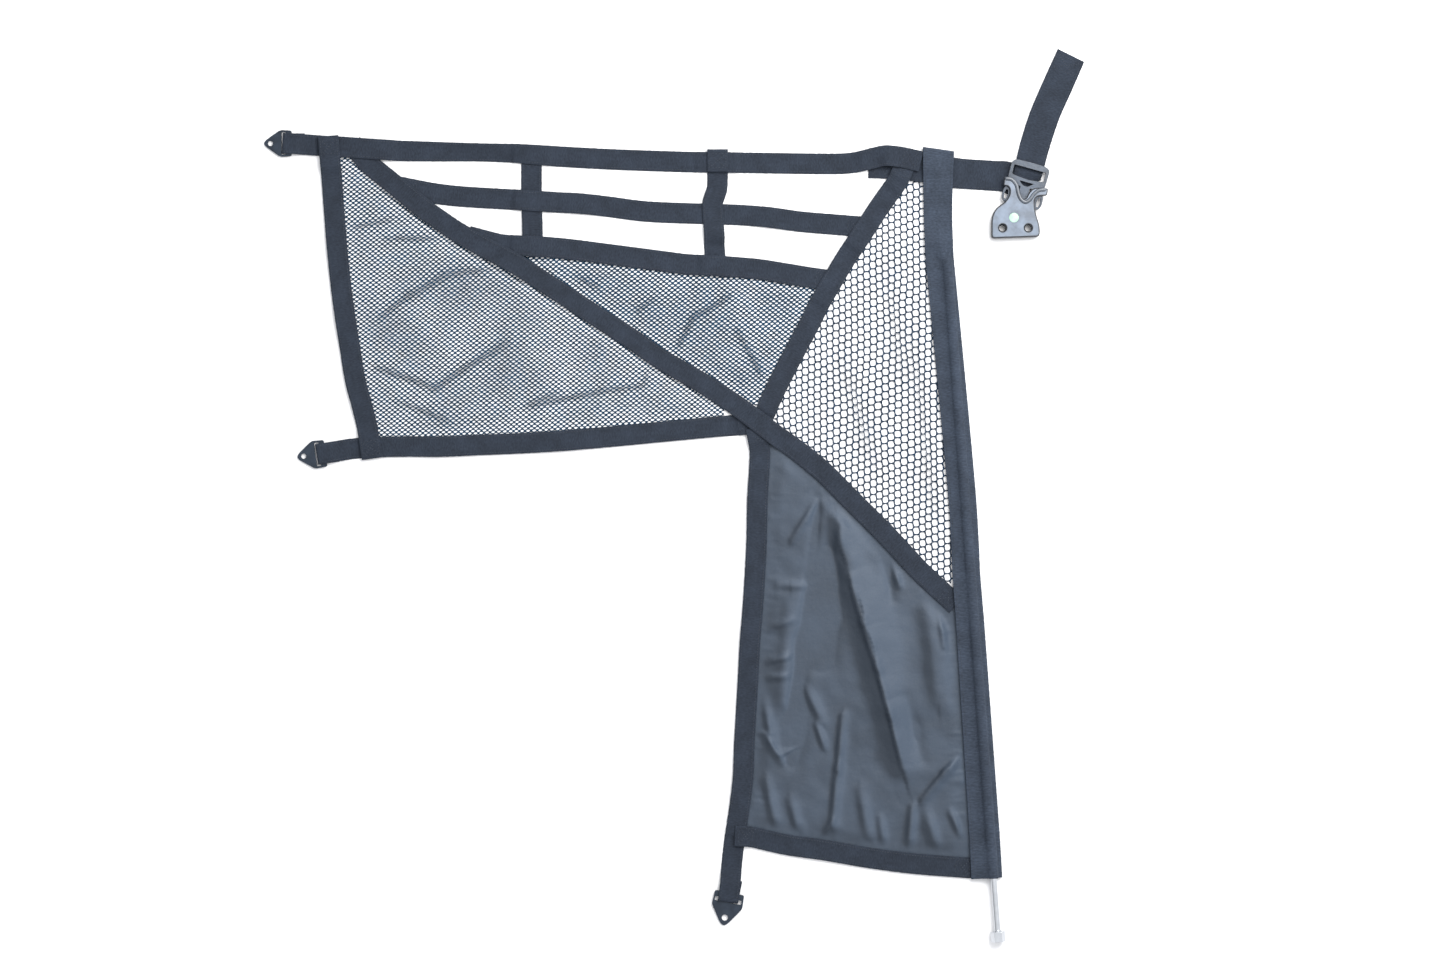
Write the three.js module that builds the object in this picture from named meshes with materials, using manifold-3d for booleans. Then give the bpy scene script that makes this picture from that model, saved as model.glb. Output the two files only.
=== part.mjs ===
// Door safety net for an off-road vehicle: sewn webbing straps, two fine nets, one coarse net and a
// fabric panel, three bolt tabs, a rod in a sleeve, and a side-release buckle on its anchor plate.
// It lies flat on a surface, face up. Millimetres, +Z up, origin under the middle of its outline.
import * as THREE from 'three';
import { mergeVertices } from 'three/addons/utils/BufferGeometryUtils.js';
import Module from 'manifold-3d';

const wasm = await Module();
wasm.setup();

// Driving dimensions
const NARROW = 25.4; // width of the border and cross straps
const WIDE = 37; // width of the buckle strap as it lies
const WEBBING = 1.5; // thickness of all webbing
const NET = 1.2; // thickness of the nets and of the panel
const GAP = 0.3; // clearance between sewn layers
const SEAM = 1; // distance of a net's edge from the middle line of the strap that holds it
const SLEEVE_LAP = 12; // how far the nets reach under the sleeve
const TAB_PLATE = 2; // thickness of the steel tabs
const TAB_RETURN = 22; // length of strap sewn back under each tab
const ROD = { radius: 3.9, sides: 14, headWidth: 18, headLength: 12.5, collarRadius: 5, collarLength: 2 };
const ROD_TOP = new THREE.Vector3(277, 263, 5.7); // upper end of the rod, inside the sleeve
const ROD_HEAD = new THREE.Vector3(338, -553, (ROD.headWidth / 2) * Math.cos(Math.PI / 6)); // below its head
const PLATE = {
  x: 359.8, y: 311.4, thickness: 12, holeRadius: 4.25, holeSpacing: 31.6, bevel: 1, chamfer: 1.2,
};
const MALE = { x: 379, y: 387.5, turn: -15.4, bottom: 4, top: 9 }; // the buckle's male half
const PLAY = 0.4; // clearance of the male half in the plate's mouth

// How the straps settle over each other
const STEP = 7; // spacing of the stations along a strap
const CELL = 2; // cell of the height map
const REACH = 620; // half the side of the height map
const RAMP = 0.3; // steepest slope of a strap coming down from a crossing

const finish = (color, roughness, metalness = 0) =>
  new THREE.MeshStandardMaterial({ color, roughness, metalness });
const webbingFinish = finish(0x424a55, 0.85);
const fineNetFinish = finish(0x4b535e, 0.9);
const coarseNetFinish = finish(0x3a414c, 0.85);
const fabricFinish = finish(0x555f6e, 0.6);
const tabFinish = finish(0x1d222c, 0.3, 0.8);
const plateFinish = finish(0xa5b0c1, 0.35);
const frameFinish = finish(0x6c7585, 0.35);
const rodFinish = finish(0xd5dae2, 0.2, 1);

const netDoor = new THREE.Group();
netDoor.name = 'door_safety_net';

// Turns a table into rows with named columns.
function rows(columns, table) {
  return table.map((line) => Object.fromEntries(columns.map((name, i) => [name, line[i] ?? 0])));
}

function addPiece(name, geometry, material, parent = netDoor) {
  const piece = new THREE.Mesh(geometry, material);
  piece.name = name;
  parent.add(piece);
  return piece;
}

// Solids: a closed mesh to a manifold and back

function toSolid(geometry) {
  const bare = geometry.clone();
  bare.deleteAttribute('normal');
  bare.deleteAttribute('uv');
  const merged = mergeVertices(bare, 1e-4);
  return new wasm.Manifold(new wasm.Mesh({
    numProp: 3,
    vertProperties: Float32Array.from(merged.attributes.position.array),
    triVerts: Uint32Array.from(merged.index.array),
  }));
}

function toGeometry(solid) {
  const mesh = solid.getMesh();
  const geometry = new THREE.BufferGeometry();
  geometry.setAttribute('position', new THREE.BufferAttribute(Float32Array.from(mesh.vertProperties), 3));
  geometry.setIndex(new THREE.BufferAttribute(Uint32Array.from(mesh.triVerts), 1));
  geometry.computeVertexNormals();
  return geometry;
}

// Closes rings of points of the same count into one solid, its faces turned outwards.
function loft(rings) {
  const count = rings[0].length;
  const positions = rings.flat().flatMap((p) => [p.x, p.y, p.z]);
  const faces = [];
  for (let i = 0; i + 1 < rings.length; i += 1) {
    for (let j = 0; j < count; j += 1) {
      const k = (j + 1) % count;
      const [a, b, c, d] = [i * count + j, i * count + k, (i + 1) * count + k, (i + 1) * count + j];
      faces.push([a, b, c], [a, c, d]);
    }
  }
  const last = (rings.length - 1) * count;
  for (let j = 0; j + 1 < count / 2; j += 1) {
    const [a, b, c, d] = [j, j + 1, count - 2 - j, count - 1 - j];
    faces.push([a, c, b], [a, d, c]);
    faces.push([last + a, last + b, last + c], [last + a, last + c, last + d]);
  }
  const geometry = new THREE.BufferGeometry();
  geometry.setAttribute('position', new THREE.Float32BufferAttribute(positions, 3));
  const inward = signedVolume(positions, faces) < 0;
  geometry.setIndex(faces.flatMap(([a, b, c]) => (inward ? [a, c, b] : [a, b, c])));
  geometry.computeVertexNormals();
  return geometry;
}

function signedVolume(positions, faces) {
  const corner = (i) => new THREE.Vector3().fromArray(positions, i * 3);
  return faces.reduce((sum, [a, b, c]) => sum + corner(a).dot(corner(b).cross(corner(c))), 0) / 6;
}

// The height map holds the top of whatever already lies at each place.
class HeightMap {
  constructor() {
    this.side = Math.ceil((2 * REACH) / CELL);
    this.tops = new Float32Array(this.side * this.side);
  }

  // Calls visit(index, x, y) for each cell inside a box around a point.
  around(x, y, radius, visit) {
    const first = (v) => Math.max(0, Math.floor((v - radius + REACH) / CELL));
    const last = (v) => Math.min(this.side - 1, Math.ceil((v + radius + REACH) / CELL));
    for (let j = first(y); j <= last(y); j += 1) {
      for (let i = first(x); i <= last(x); i += 1) {
        visit(j * this.side + i, (i + 0.5) * CELL - REACH, (j + 0.5) * CELL - REACH);
      }
    }
  }

  // The highest top under a rectangle across a strap.
  highest(spot, halfLength, halfWidth) {
    let top = 0;
    this.around(spot.x, spot.y, Math.hypot(halfLength, halfWidth), (cell, x, y) => {
      const along = Math.abs((x - spot.x) * spot.dx + (y - spot.y) * spot.dy);
      const across = Math.abs((x - spot.x) * -spot.dy + (y - spot.y) * spot.dx);
      if (along <= halfLength && across <= halfWidth) top = Math.max(top, this.tops[cell]);
    });
    return top;
  }

  // Raises the map to the top of a strap between two stations.
  cover(from, to) {
    const length = Math.hypot(to.x - from.x, to.y - from.y);
    const [dx, dy] = [(to.x - from.x) / length, (to.y - from.y) / length];
    const halfWidth = Math.max(from.width, to.width) / 2 + CELL / 2;
    const middle = { x: (from.x + to.x) / 2, y: (from.y + to.y) / 2 };
    this.around(middle.x, middle.y, length / 2 + halfWidth, (cell, x, y) => {
      const along = (x - from.x) * dx + (y - from.y) * dy;
      const across = Math.abs((x - from.x) * -dy + (y - from.y) * dx);
      if (along < -CELL || along > length + CELL || across > halfWidth) return;
      const share = THREE.MathUtils.clamp(along / length, 0, 1);
      const top = THREE.MathUtils.lerp(from.top, to.top, share);
      this.tops[cell] = Math.max(this.tops[cell], top);
    });
  }

  // Raises the map to the upper side of a sheet.
  addSheet(geometry) {
    const flat = geometry.index ? geometry.toNonIndexed() : geometry;
    const place = flat.attributes.position;
    const triangle = new THREE.Triangle();
    for (let i = 0; i < place.count; i += 3) {
      triangle.setFromAttributeAndIndices(place, i, i + 1, i + 2);
      const box = new THREE.Box2().setFromPoints([triangle.a, triangle.b, triangle.c]);
      const middle = box.getCenter(new THREE.Vector2());
      const size = box.getSize(new THREE.Vector2());
      if (triangle.getNormal(new THREE.Vector3()).z < 0.5) continue;
      this.around(middle.x, middle.y, Math.max(size.x, size.y) / 2, (cell, x, y) => {
        if (!insideTriangle(triangle, x, y)) return;
        this.tops[cell] = Math.max(this.tops[cell], heightOn(triangle, x, y));
      });
    }
  }
}

// Height of a triangle's plane above a point of the surface.
function heightOn(triangle, x, y) {
  const plane = triangle.getPlane(new THREE.Plane());
  return -(plane.normal.x * x + plane.normal.y * y + plane.constant) / plane.normal.z;
}

function insideTriangle({ a, b, c }, x, y) {
  const turn = (p, q) => (q.x - p.x) * (y - p.y) - (q.y - p.y) * (x - p.x);
  return turn(a, b) >= -CELL && turn(b, c) >= -CELL && turn(c, a) >= -CELL;
}

function inside(outline, x, y) {
  let odd = false;
  outline.forEach((a, i) => {
    const b = outline[(i + 1) % outline.length];
    if ((a.y > y) !== (b.y > y) && x < a.x + ((y - a.y) / (b.y - a.y)) * (b.x - a.x)) odd = !odd;
  });
  return odd;
}

// Stations along a strap's middle line, with its direction and width at each.
function walk(route, width) {
  const curve = new THREE.CatmullRomCurve3(
    route.map((row) => new THREE.Vector3(row.x, row.y, row.lift ?? 0)), false, 'centripetal');
  const stations = [];
  route.slice(0, -1).forEach((row, i) => {
    const next = route[i + 1];
    const count = Math.max(1, Math.round(Math.hypot(next.x - row.x, next.y - row.y) / STEP));
    const steps = i === route.length - 2 ? count + 1 : count;
    for (let k = 0; k < steps; k += 1) {
      const share = k / count;
      const place = (i + share) / (route.length - 1);
      const point = curve.getPoint(place);
      const tangent = curve.getTangent(place).setZ(0).normalize();
      const mix = (name, otherwise) => (row[name] || next[name]
        ? THREE.MathUtils.lerp(row[name] || otherwise, next[name] || otherwise, share) : otherwise);
      stations.push({
        x: point.x, y: point.y, dx: tangent.x, dy: tangent.y,
        lift: Math.max(0, point.z), width: mix('width', width), tilt: mix('tilt', 0),
      });
    }
  });
  return stations;
}

const distance = (a, b) => Math.hypot(b.x - a.x, b.y - a.y);

// The height at which each station clears all that lies below, with soft ramps beside each crossing.
function settle(map, stations) {
  const gaps = stations.slice(1).map((spot, i) => distance(stations[i], spot));
  const base = stations.map((spot, i) => {
    const top = map.highest(spot, Math.max(gaps[i - 1] ?? 0, gaps[i] ?? 0) + CELL, spot.width / 2 + CELL);
    return (top > 0 ? top + GAP : 0) + spot.lift;
  });
  gaps.forEach((gap, i) => { base[i + 1] = Math.max(base[i + 1], base[i] - RAMP * gap); });
  for (let i = gaps.length - 1; i >= 0; i -= 1) base[i] = Math.max(base[i], base[i + 1] - RAMP * gaps[i]);
  return base;
}

function coverAll(map, stations) {
  for (let i = 0; i + 1 < stations.length; i += 1) map.cover(stations[i], stations[i + 1]);
}

// Lets a strap down onto the map and raises the map to its upper side.
function lay(map, route, width = NARROW) {
  const stations = walk(route, width);
  const base = settle(map, stations);
  stations.forEach((spot, i) => {
    spot.base = base[i];
    spot.top = base[i] + WEBBING + Math.abs(spot.tilt);
  });
  coverAll(map, stations);
  return stations;
}

// Drops stations that lie on the line between their neighbours.
const TOLERANCES = { x: 0.5, y: 0.5, base: 0.14, rightBase: 0.14, width: 1, tilt: 0.3, arch: 0.01 };

function thin(stations) {
  const kept = [stations[0]];
  let from = 0;
  for (let to = 2; to < stations.length; to += 1) {
    const [a, b] = [stations[from], stations[to]];
    const straight = stations.slice(from + 1, to).every((spot) => {
      const length = Math.hypot(b.x - a.x, b.y - a.y);
      const share = ((spot.x - a.x) * (b.x - a.x) + (spot.y - a.y) * (b.y - a.y)) / length ** 2;
      return Object.entries(TOLERANCES).every(([name, tolerance]) => (
        Math.abs(THREE.MathUtils.lerp(a[name] ?? 0, b[name] ?? 0, share) - (spot[name] ?? 0)) < tolerance));
    });
    if (!straight) {
      from = to - 1;
      kept.push(stations[from]);
    }
  }
  kept.push(stations.at(-1));
  return kept;
}

// A section holds the two edge points of the strap's middle surface and its normal.
function toSection(spot) {
  const edge = (side) => new THREE.Vector3(
    spot.x - (side * spot.dy * spot.width) / 2,
    spot.y + (side * spot.dx * spot.width) / 2,
    spot.base + WEBBING / 2 + Math.max(0, side * spot.tilt));
  return { left: edge(1), right: edge(-1), normal: new THREE.Vector3(0, 0, 1) };
}

// Turns a strap back over or under itself at its last section, heading along the given direction.
function turnBack(section, heading, radius, towardsNormal, steps = 5) {
  const side = towardsNormal ? 1 : -1;
  return Array.from({ length: steps }, (_, i) => {
    const angle = (Math.PI * (i + 1)) / steps;
    const move = section.normal.clone().multiplyScalar(side * radius * (1 - Math.cos(angle)))
      .addScaledVector(heading, radius * Math.sin(angle));
    const normal = section.normal.clone().multiplyScalar(Math.cos(angle))
      .addScaledVector(heading, -side * Math.sin(angle));
    return { left: section.left.clone().add(move), right: section.right.clone().add(move), normal };
  });
}

function shifted(section, x, y, z = 0) {
  const move = new THREE.Vector3(x, y, z);
  return {
    left: section.left.clone().add(move), right: section.right.clone().add(move), normal: section.normal,
  };
}

function ribbon(sections) {
  return loft(sections.map(({ left, right, normal }) => {
    const half = normal.clone().multiplyScalar(WEBBING / 2);
    return [left.clone().add(half), right.clone().add(half), right.clone().sub(half), left.clone().sub(half)];
  }));
}

// Steel tab: a blunt triangle with a bolt hole at its tip and a slot for the strap behind it.
const TABS = rows(['name', 'x', 'y', 'turn', 'length', 'width', 'shoulder', 'tipRadius', 'holeRadius'], [
  ['tab_upper', -564, 416, 0, 34, 33, 20, 7.8, 3.3],
  ['tab_middle', -523, 30, 8, 35, 34.5, 20, 7.8, 3.3],
  ['tab_lower', 1, -546, 79, 41, 38, 24, 9.5, 4],
]);
const TAB_BAR = 7; // bar behind the slot
const TAB_SLOT = 5.5; // slot along the tab
const TAB_EDGE = 2.6; // steel beside the slot

function tabFrame(tab) {
  const turn = THREE.MathUtils.degToRad(tab.turn);
  const barFront = tab.length - TAB_BAR;
  const slope = (WEBBING + GAP + 0.1) / barFront;
  return { turn, barFront, slope, heading: new THREE.Vector3(Math.cos(turn), Math.sin(turn), 0) };
}

// The place on a tab's axis where its strap turns down into the slot
function barPoint(name) {
  const tab = TABS.find((row) => row.name === name);
  const { barFront, heading } = tabFrame(tab);
  return [tab.x + heading.x * barFront, tab.y + heading.y * barFront];
}

function tabGeometry(tab) {
  const { barFront } = tabFrame(tab);
  const half = tab.width / 2;
  const plate = roundedShape(rows(['x', 'y', 'radius'], [
    [0, -tab.tipRadius * 0.35, tab.tipRadius], [tab.shoulder, -half, 3], [tab.length, -half + 0.8, 2.2],
    [tab.length, half - 0.8, 2.2], [tab.shoulder, half, 3], [0, tab.tipRadius * 0.35, tab.tipRadius],
  ]));
  plate.holes.push(roundedPath(rows(['x', 'y', 'radius'], [
    [barFront - TAB_SLOT, -half + TAB_EDGE, 1.2], [barFront, -half + TAB_EDGE, 1.2],
    [barFront, half - TAB_EDGE, 1.2], [barFront - TAB_SLOT, half - TAB_EDGE, 1.2],
  ])));
  const hole = new THREE.Path();
  hole.absarc(tab.tipRadius, 0, tab.holeRadius, 0, 2 * Math.PI, true);
  plate.holes.push(hole);
  return new THREE.ExtrudeGeometry(plate, { depth: TAB_PLATE, bevelEnabled: false, curveSegments: 5 });
}

// An outline through corner rows, each corner rounded by its radius.
function roundedPath(corners, path = new THREE.Path()) {
  corners.forEach((corner, i) => {
    const before = corners.at(i - 1);
    const after = corners[(i + 1) % corners.length];
    const towards = (other) => {
      const length = Math.hypot(other.x - corner.x, other.y - corner.y);
      const share = Math.min(corner.radius / length, 0.48);
      return [corner.x + (other.x - corner.x) * share, corner.y + (other.y - corner.y) * share];
    };
    const start = towards(before);
    if (i === 0) path.moveTo(...start);
    else path.lineTo(...start);
    if (corner.radius > 0) path.quadraticCurveTo(corner.x, corner.y, ...towards(after));
  });
  path.closePath();
  return path;
}

function roundedShape(corners) {
  return roundedPath(corners, new THREE.Shape());
}

// Routes of the straps' middle lines, seen from above
const ROUTES = {
  top: rows(['x', 'y', 'lift', 'tilt', 'width'], [
    barPoint('tab_upper'), [-489, 413], [-397, 407], [-347, 406, 0, 0, 24], [-298, 405, 0, 4, 22],
    [-261, 404, 0, 3, 23], [-200, 400], [-101, 395], [-28, 393], [71, 392], [120, 391], [157, 392],
    [179, 396, 2], [196, 400, 3], [210, 400, 2], [228, 397], [244, 393],
  ]),
  left: rows(['x', 'y', 'lift'], [
    [-485, 425], [-482, 389], [-478, 334], [-474, 285, 1], [-469, 236], [-464, 201, 2], [-458, 162],
    [-452, 125], [-444, 95, 1], [-438, 70], [-435, 55], [-431, 28],
  ]),
  bottomLeft: rows(['x', 'y', 'lift'], [
    barPoint('tab_middle'), [-482, 36], [-450, 41], [-397, 43], [-347, 43, 1], [-298, 45], [-249, 47],
    [-200, 50, 1], [-151, 54], [-101, 59], [-52, 63], [-15, 67], [28, 70], [42, 71],
  ]),
  longDiagonal: rows(['x', 'y', 'lift'], [
    [-456, 416], [-436, 392], [-407, 368], [-372, 339], [-337, 314], [-306, 295], [-255, 268],
    [-222, 247, 1], [-191, 227], [-153, 202], [-114, 177], [-78, 152], [-40, 130, 1], [-15, 115], [25, 88],
    [60, 61], [88, 41], [122, 14, 1], [157, -21], [204, -68, 1], [244, -111], [275, -140], [288, -152],
  ]),
  shortDiagonal: rows(['x', 'y', 'lift'], [
    [227, 396], [215, 369], [197, 344], [181, 319], [162, 290, 1], [152, 275], [121, 222], [107, 194, 1],
    [91, 164], [79, 140], [66, 115], [54, 88], [42, 61],
  ]),
  middle: rows(['x', 'y', 'lift'], [
    [-399, 363], [-351, 354], [-323, 351], [-274, 348], [-212, 344], [-175, 342, 2], [-138, 338], [-101, 333],
    [-28, 330], [22, 328], [58, 325, 2], [95, 320], [132, 317], [176, 313],
  ]),
  low: rows(['x', 'y', 'lift'], [
    [-313, 302], [-274, 292], [-249, 290], [-200, 287, 1], [-151, 281], [-101, 275], [-52, 268], [-3, 265],
    [46, 261], [83, 255, 1], [108, 251], [137, 247],
  ]),
  uprightLeft: rows(['x', 'y', 'lift'], [
    [-235, 411], [-235, 383], [-235, 346], [-234, 315, 1], [-234, 281],
  ]),
  uprightRight: rows(['x', 'y', 'lift', 'tilt'], [
    [-6, 406.5], [-6, 381], [-7, 359], [-12, 343], [-11, 317], [-10, 302, 3, 2], [-10, 290], [-9, 276],
    [-8, 256],
  ]),
  uprightFold: rows(['x', 'y'], [[-6, 406.5], [-6, 393], [-6, 381]]),
  panelLeft: rows(['x', 'y', 'lift'], [
    [41, 66], [44, 50], [46, 36], [43, -23, 1], [42, -72], [38, -146], [34, -195, 1], [30, -269], [27, -318],
    [25, -367, 1], [18, -421], [13, -453], [9.5, -495], barPoint('tab_lower'),
  ]),
  bottom: rows(['x', 'y', 'lift'], [
    [15, -436], [33, -437], [73, -446], [128, -454, 1], [173, -462], [223, -469], [274, -473], [309, -476],
  ]),
  buckle: rows(['x', 'y'], [[180, 392], [206, 391], [245, 387], [284, 380], [323, 377], [334, 376.3]]),
  sleeveTop: rows(['x', 'y', 'width'], [
    [265.5, 404, 38], [265, 384, 37], [265, 365, 36], [265, 330, 35], [266, 300, 34.5],
  ]),
  sleeve: rows(['x', 'y', 'width'], [
    [266, 300, 34.5], [267, 275, 34.5], [271, 236, 34.5], [274, 201, 34.5], [280, 140, 34.5], [286, 76, 34],
    [291, 25, 34], [297, -50, 34], [300, -116, 34], [303.5, -160, 34.5], [307, -210, 35], [311, -269, 35.5],
    [317.5, -367, 36.5], [322, -430, 37], [325, -488, 38],
  ]),
};

// The edge of a net, along a strap's middle line between two limits on one coordinate.
function seamAlong(route, coordinate, from, to, offset) {
  const line = walk(route, NARROW).filter((spot) => {
    const value = spot[coordinate];
    return value >= Math.min(from, to) && value <= Math.max(from, to);
  });
  const points = line.filter((_, i) => i % 3 === 0 || i === line.length - 1)
    .map((spot) => new THREE.Vector2(spot.x - spot.dy * offset, spot.y + spot.dx * offset));
  const first = points[0][coordinate];
  return Math.abs(first - from) <= Math.abs(first - to) ? points : points.reverse();
}

// The sleeve's left edge, moved under it by the lap.
function seamUnderSleeve(from, to) {
  const line = [...walk(ROUTES.sleeveTop, WIDE), ...walk(ROUTES.sleeve, WIDE).slice(1)]
    .filter((spot) => spot.y <= Math.max(from, to) && spot.y >= Math.min(from, to));
  const points = line.filter((_, i) => i % 5 === 0 || i === line.length - 1)
    .map((spot) => new THREE.Vector2(spot.x - spot.width / 2 + SLEEVE_LAP, spot.y));
  return from > to ? points : points.reverse();
}

const OUTLINES = {
  fineLeft: [
    ...seamAlong(ROUTES.left, 'y', 400, 62, SEAM),
    ...seamAlong(ROUTES.bottomLeft, 'x', -424, -4, SEAM),
    ...seamAlong(ROUTES.longDiagonal, 'x', 2, -448, -SEAM),
  ],
  fineMiddle: [
    ...seamAlong(ROUTES.longDiagonal, 'x', -284, 22, SEAM),
    ...seamAlong(ROUTES.shortDiagonal, 'y', 104, 238, -SEAM),
    ...seamAlong(ROUTES.low, 'x', 112, -288, -SEAM),
  ],
  coarse: [
    ...seamAlong(ROUTES.shortDiagonal, 'y', 384, 96, SEAM),
    ...seamAlong(ROUTES.longDiagonal, 'x', 78, 262, SEAM),
    ...seamUnderSleeve(-116, 384),
  ],
  fabric: [
    ...seamAlong(ROUTES.panelLeft, 'y', 20, -424, SEAM),
    ...seamAlong(ROUTES.bottom, 'x', 34, 290, SEAM),
    ...seamUnderSleeve(-460, -170),
    ...seamAlong(ROUTES.longDiagonal, 'x', 262, 62, -SEAM),
  ],
};

// Folds of the sheets: soft ridges from one point to another
const FOLD = ['x1', 'y1', 'x2', 'y2', 'width', 'height'];
const FOLDS = {
  fineLeft: rows(FOLD, [
    [-415, 300, -338, 300, 12, 4], [-420, 202, -384, 231, 14, 5], [-384, 231, -338, 256, 14, 6],
    [-338, 256, -271, 264, 13, 4], [-450, 312, -409, 323, 11, 3], [-426, 141, -355, 115, 14, 5],
    [-355, 115, -265, 172, 15, 5], [-399, 99, -338, 76, 12, 4], [-242, 94, -200, 111, 12, 4],
    [-233, 93, -148, 113, 12, 4], [-148, 113, -98, 119, 12, 3], [-98, 119, -88, 147, 11, 3],
  ]),
  fineMiddle: rows(FOLD, [
    [9, 228, -35, 204, 12, 4], [-35, 204, -57, 162, 13, 5], [18, 188, 52, 125, 12, 4],
    [-85, 226, -104, 210, 11, 4], [-180, 252, -150, 238, 10, 3],
  ]),
  coarse: rows(FOLD, [[236, 180, 262, -40, 14, 3], [150, 150, 190, 10, 20, 3], [205, 250, 222, 130, 14, 2]]),
  fabric: rows(FOLD, [
    [149, -106, 175, -170, 14, 7], [175, -170, 197, -269, 15, 8], [197, -269, 221, -351, 15, 7],
    [125, -13, 115, -88, 12, 6], [115, -88, 100, -183, 13, 7], [98, -206, 83, -306, 14, 6],
    [115, -24, 87, -69, 11, 5], [208, -100, 216, -126, 11, 5], [240, -150, 256, -230, 14, 6],
    [47, -306, 73, -345, 11, 4], [73, -335, 93, -325, 10, 4], [113, -293, 125, -325, 11, 5],
    [148, -306, 136, -359, 12, 6], [136, -359, 138, -416, 12, 6], [138, -416, 122, -438, 10, 4],
    [290, -347, 248, -391, 13, 7], [236, -410, 233, -446, 11, 5], [200, -400, 215, -440, 12, 4],
    [72, -130, 100, -128, 10, 4], [66, -180, 90, -172, 9, 3], [62, -235, 84, -228, 9, 3],
  ]),
};
const NET_CELL = 20; // spacing of a net's points
const PANEL_CELL = 12.5; // spacing of the panel's points
const FADE = { start: 15, end: 42 }; // the folds die away between these distances from a sheet's edge
const TRIM = 30; // half the height of the prism that trims a sheet, more than any fold's

// The distance from a place to the line between two ends
function distanceToLine(x, y, x1, y1, x2, y2) {
  const length = (x2 - x1) ** 2 + (y2 - y1) ** 2;
  const share = THREE.MathUtils.clamp(((x - x1) * (x2 - x1) + (y - y1) * (y2 - y1)) / length, 0, 1);
  return Math.hypot(x - x1 - share * (x2 - x1), y - y1 - share * (y2 - y1));
}

function edgeDistance(outline, x, y) {
  return Math.min(...outline.map((a, i) => {
    const b = outline[(i + 1) % outline.length];
    return distanceToLine(x, y, a.x, a.y, b.x, b.y);
  }));
}

// How far the folds lift a sheet at one place
function liftAt(outline, folds, x, y) {
  const fade = THREE.MathUtils.smoothstep(edgeDistance(outline, x, y), FADE.start, FADE.end);
  const ridges = folds.map((fold) => {
    const off = distanceToLine(x, y, fold.x1, fold.y1, fold.x2, fold.y2) / fold.width;
    return fold.height * Math.exp(-off * off);
  });
  return fade * Math.max(0, ...ridges);
}

// A sheet: a slab that follows the folds, trimmed to its outline.
function sheetGeometry(outline, folds, cell) {
  const box = new THREE.Box2().setFromPoints(outline).expandByScalar(2);
  const size = box.getSize(new THREE.Vector2());
  const [columns, lines] = [Math.ceil(size.x / cell), Math.ceil(size.y / cell)];
  const slab = new THREE.BoxGeometry(size.x, size.y, NET, columns, lines, 1);
  const middle = box.getCenter(new THREE.Vector2());
  slab.translate(middle.x, middle.y, NET / 2);
  const place = slab.attributes.position;
  for (let i = 0; i < place.count; i += 1) {
    const [x, y] = [place.getX(i), place.getY(i)];
    if (inside(outline, x, y)) place.setZ(i, place.getZ(i) + liftAt(outline, folds, x, y));
  }
  const prism = new THREE.ExtrudeGeometry(new THREE.Shape(outline), { depth: 2 * TRIM, bevelEnabled: false });
  prism.translate(0, 0, -TRIM);
  return toGeometry(toSolid(slab).intersect(toSolid(prism)));
}

// The coarse net's holes, at a wider pitch than the real net's, in staggered rows that rise to the right.
const MESH = { column: 16, line: 17.4, holeWidth: 15, holeHeight: 14, slant: 15, margin: 13.5 };
const HEXAGON = rows(['u', 'v'], [
  [0.25, 0.5], [0.5, 0], [0.25, -0.5], [-0.25, -0.5], [-0.5, 0], [-0.25, 0.5],
]);

function coarseNetGeometry(outline, folds) {
  const shape = new THREE.Shape(outline);
  const rise = Math.tan(THREE.MathUtils.degToRad(MESH.slant));
  const box = new THREE.Box2().setFromPoints(outline);
  const middle = box.getCenter(new THREE.Vector2());
  const size = box.getSize(new THREE.Vector2());
  const columns = Math.ceil(size.x / 2 / MESH.column);
  const lines = Math.ceil((size.y + size.x * rise) / 2 / MESH.line);
  for (let column = -columns; column <= columns; column += 1) {
    for (let line = -lines; line <= lines; line += 1) {
      const x = middle.x + column * MESH.column;
      const stagger = column % 2 === 0 ? 0 : MESH.line / 2;
      const y = middle.y + line * MESH.line + stagger + (x - middle.x) * rise;
      const corners = HEXAGON.map(({ u, v }) => new THREE.Vector2(
        x + u * MESH.holeWidth, y + v * MESH.holeHeight + u * MESH.holeWidth * rise));
      const clear = corners.every((corner) =>
        inside(outline, corner.x, corner.y) && edgeDistance(outline, corner.x, corner.y) > MESH.margin);
      if (clear) shape.holes.push(new THREE.Path(corners));
    }
  }
  const net = new THREE.ExtrudeGeometry(shape, { depth: NET, bevelEnabled: false });
  const place = net.attributes.position;
  for (let i = 0; i < place.count; i += 1) {
    place.setZ(i, place.getZ(i) + liftAt(outline, folds, place.getX(i), place.getY(i)));
  }
  return toGeometry(toSolid(net));
}

// The rod sleeve is one webbing folded over the buckle strap. It settles in two lanes: its left lane lies
// on the edges of the nets and on strap ends, its right lane holds the rod.
const LANE = 14.5; // width of the left lane
const LANE_STEP = 4; // width over which the webbing steps down between the lanes

function laySleeve(map, route) {
  const stations = walk(route, WIDE);
  const left = stations.map((spot) => ({ ...spot, x: spot.x - (spot.width - LANE) / 2, width: LANE }));
  const right = stations.map((spot) => (
    { ...spot, x: spot.x + (LANE + LANE_STEP) / 2, width: spot.width - LANE - LANE_STEP }));
  const [base, rightBase] = [settle(map, left), settle(map, right)];
  [[left, base], [right, rightBase]].forEach(([spots, heights]) => {
    spots.forEach((spot, i) => { spot.top = heights[i] + WEBBING; });
    coverAll(map, spots);
  });
  return stations.map((spot, i) => ({ ...spot, base: base[i], rightBase: rightBase[i] }));
}

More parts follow.
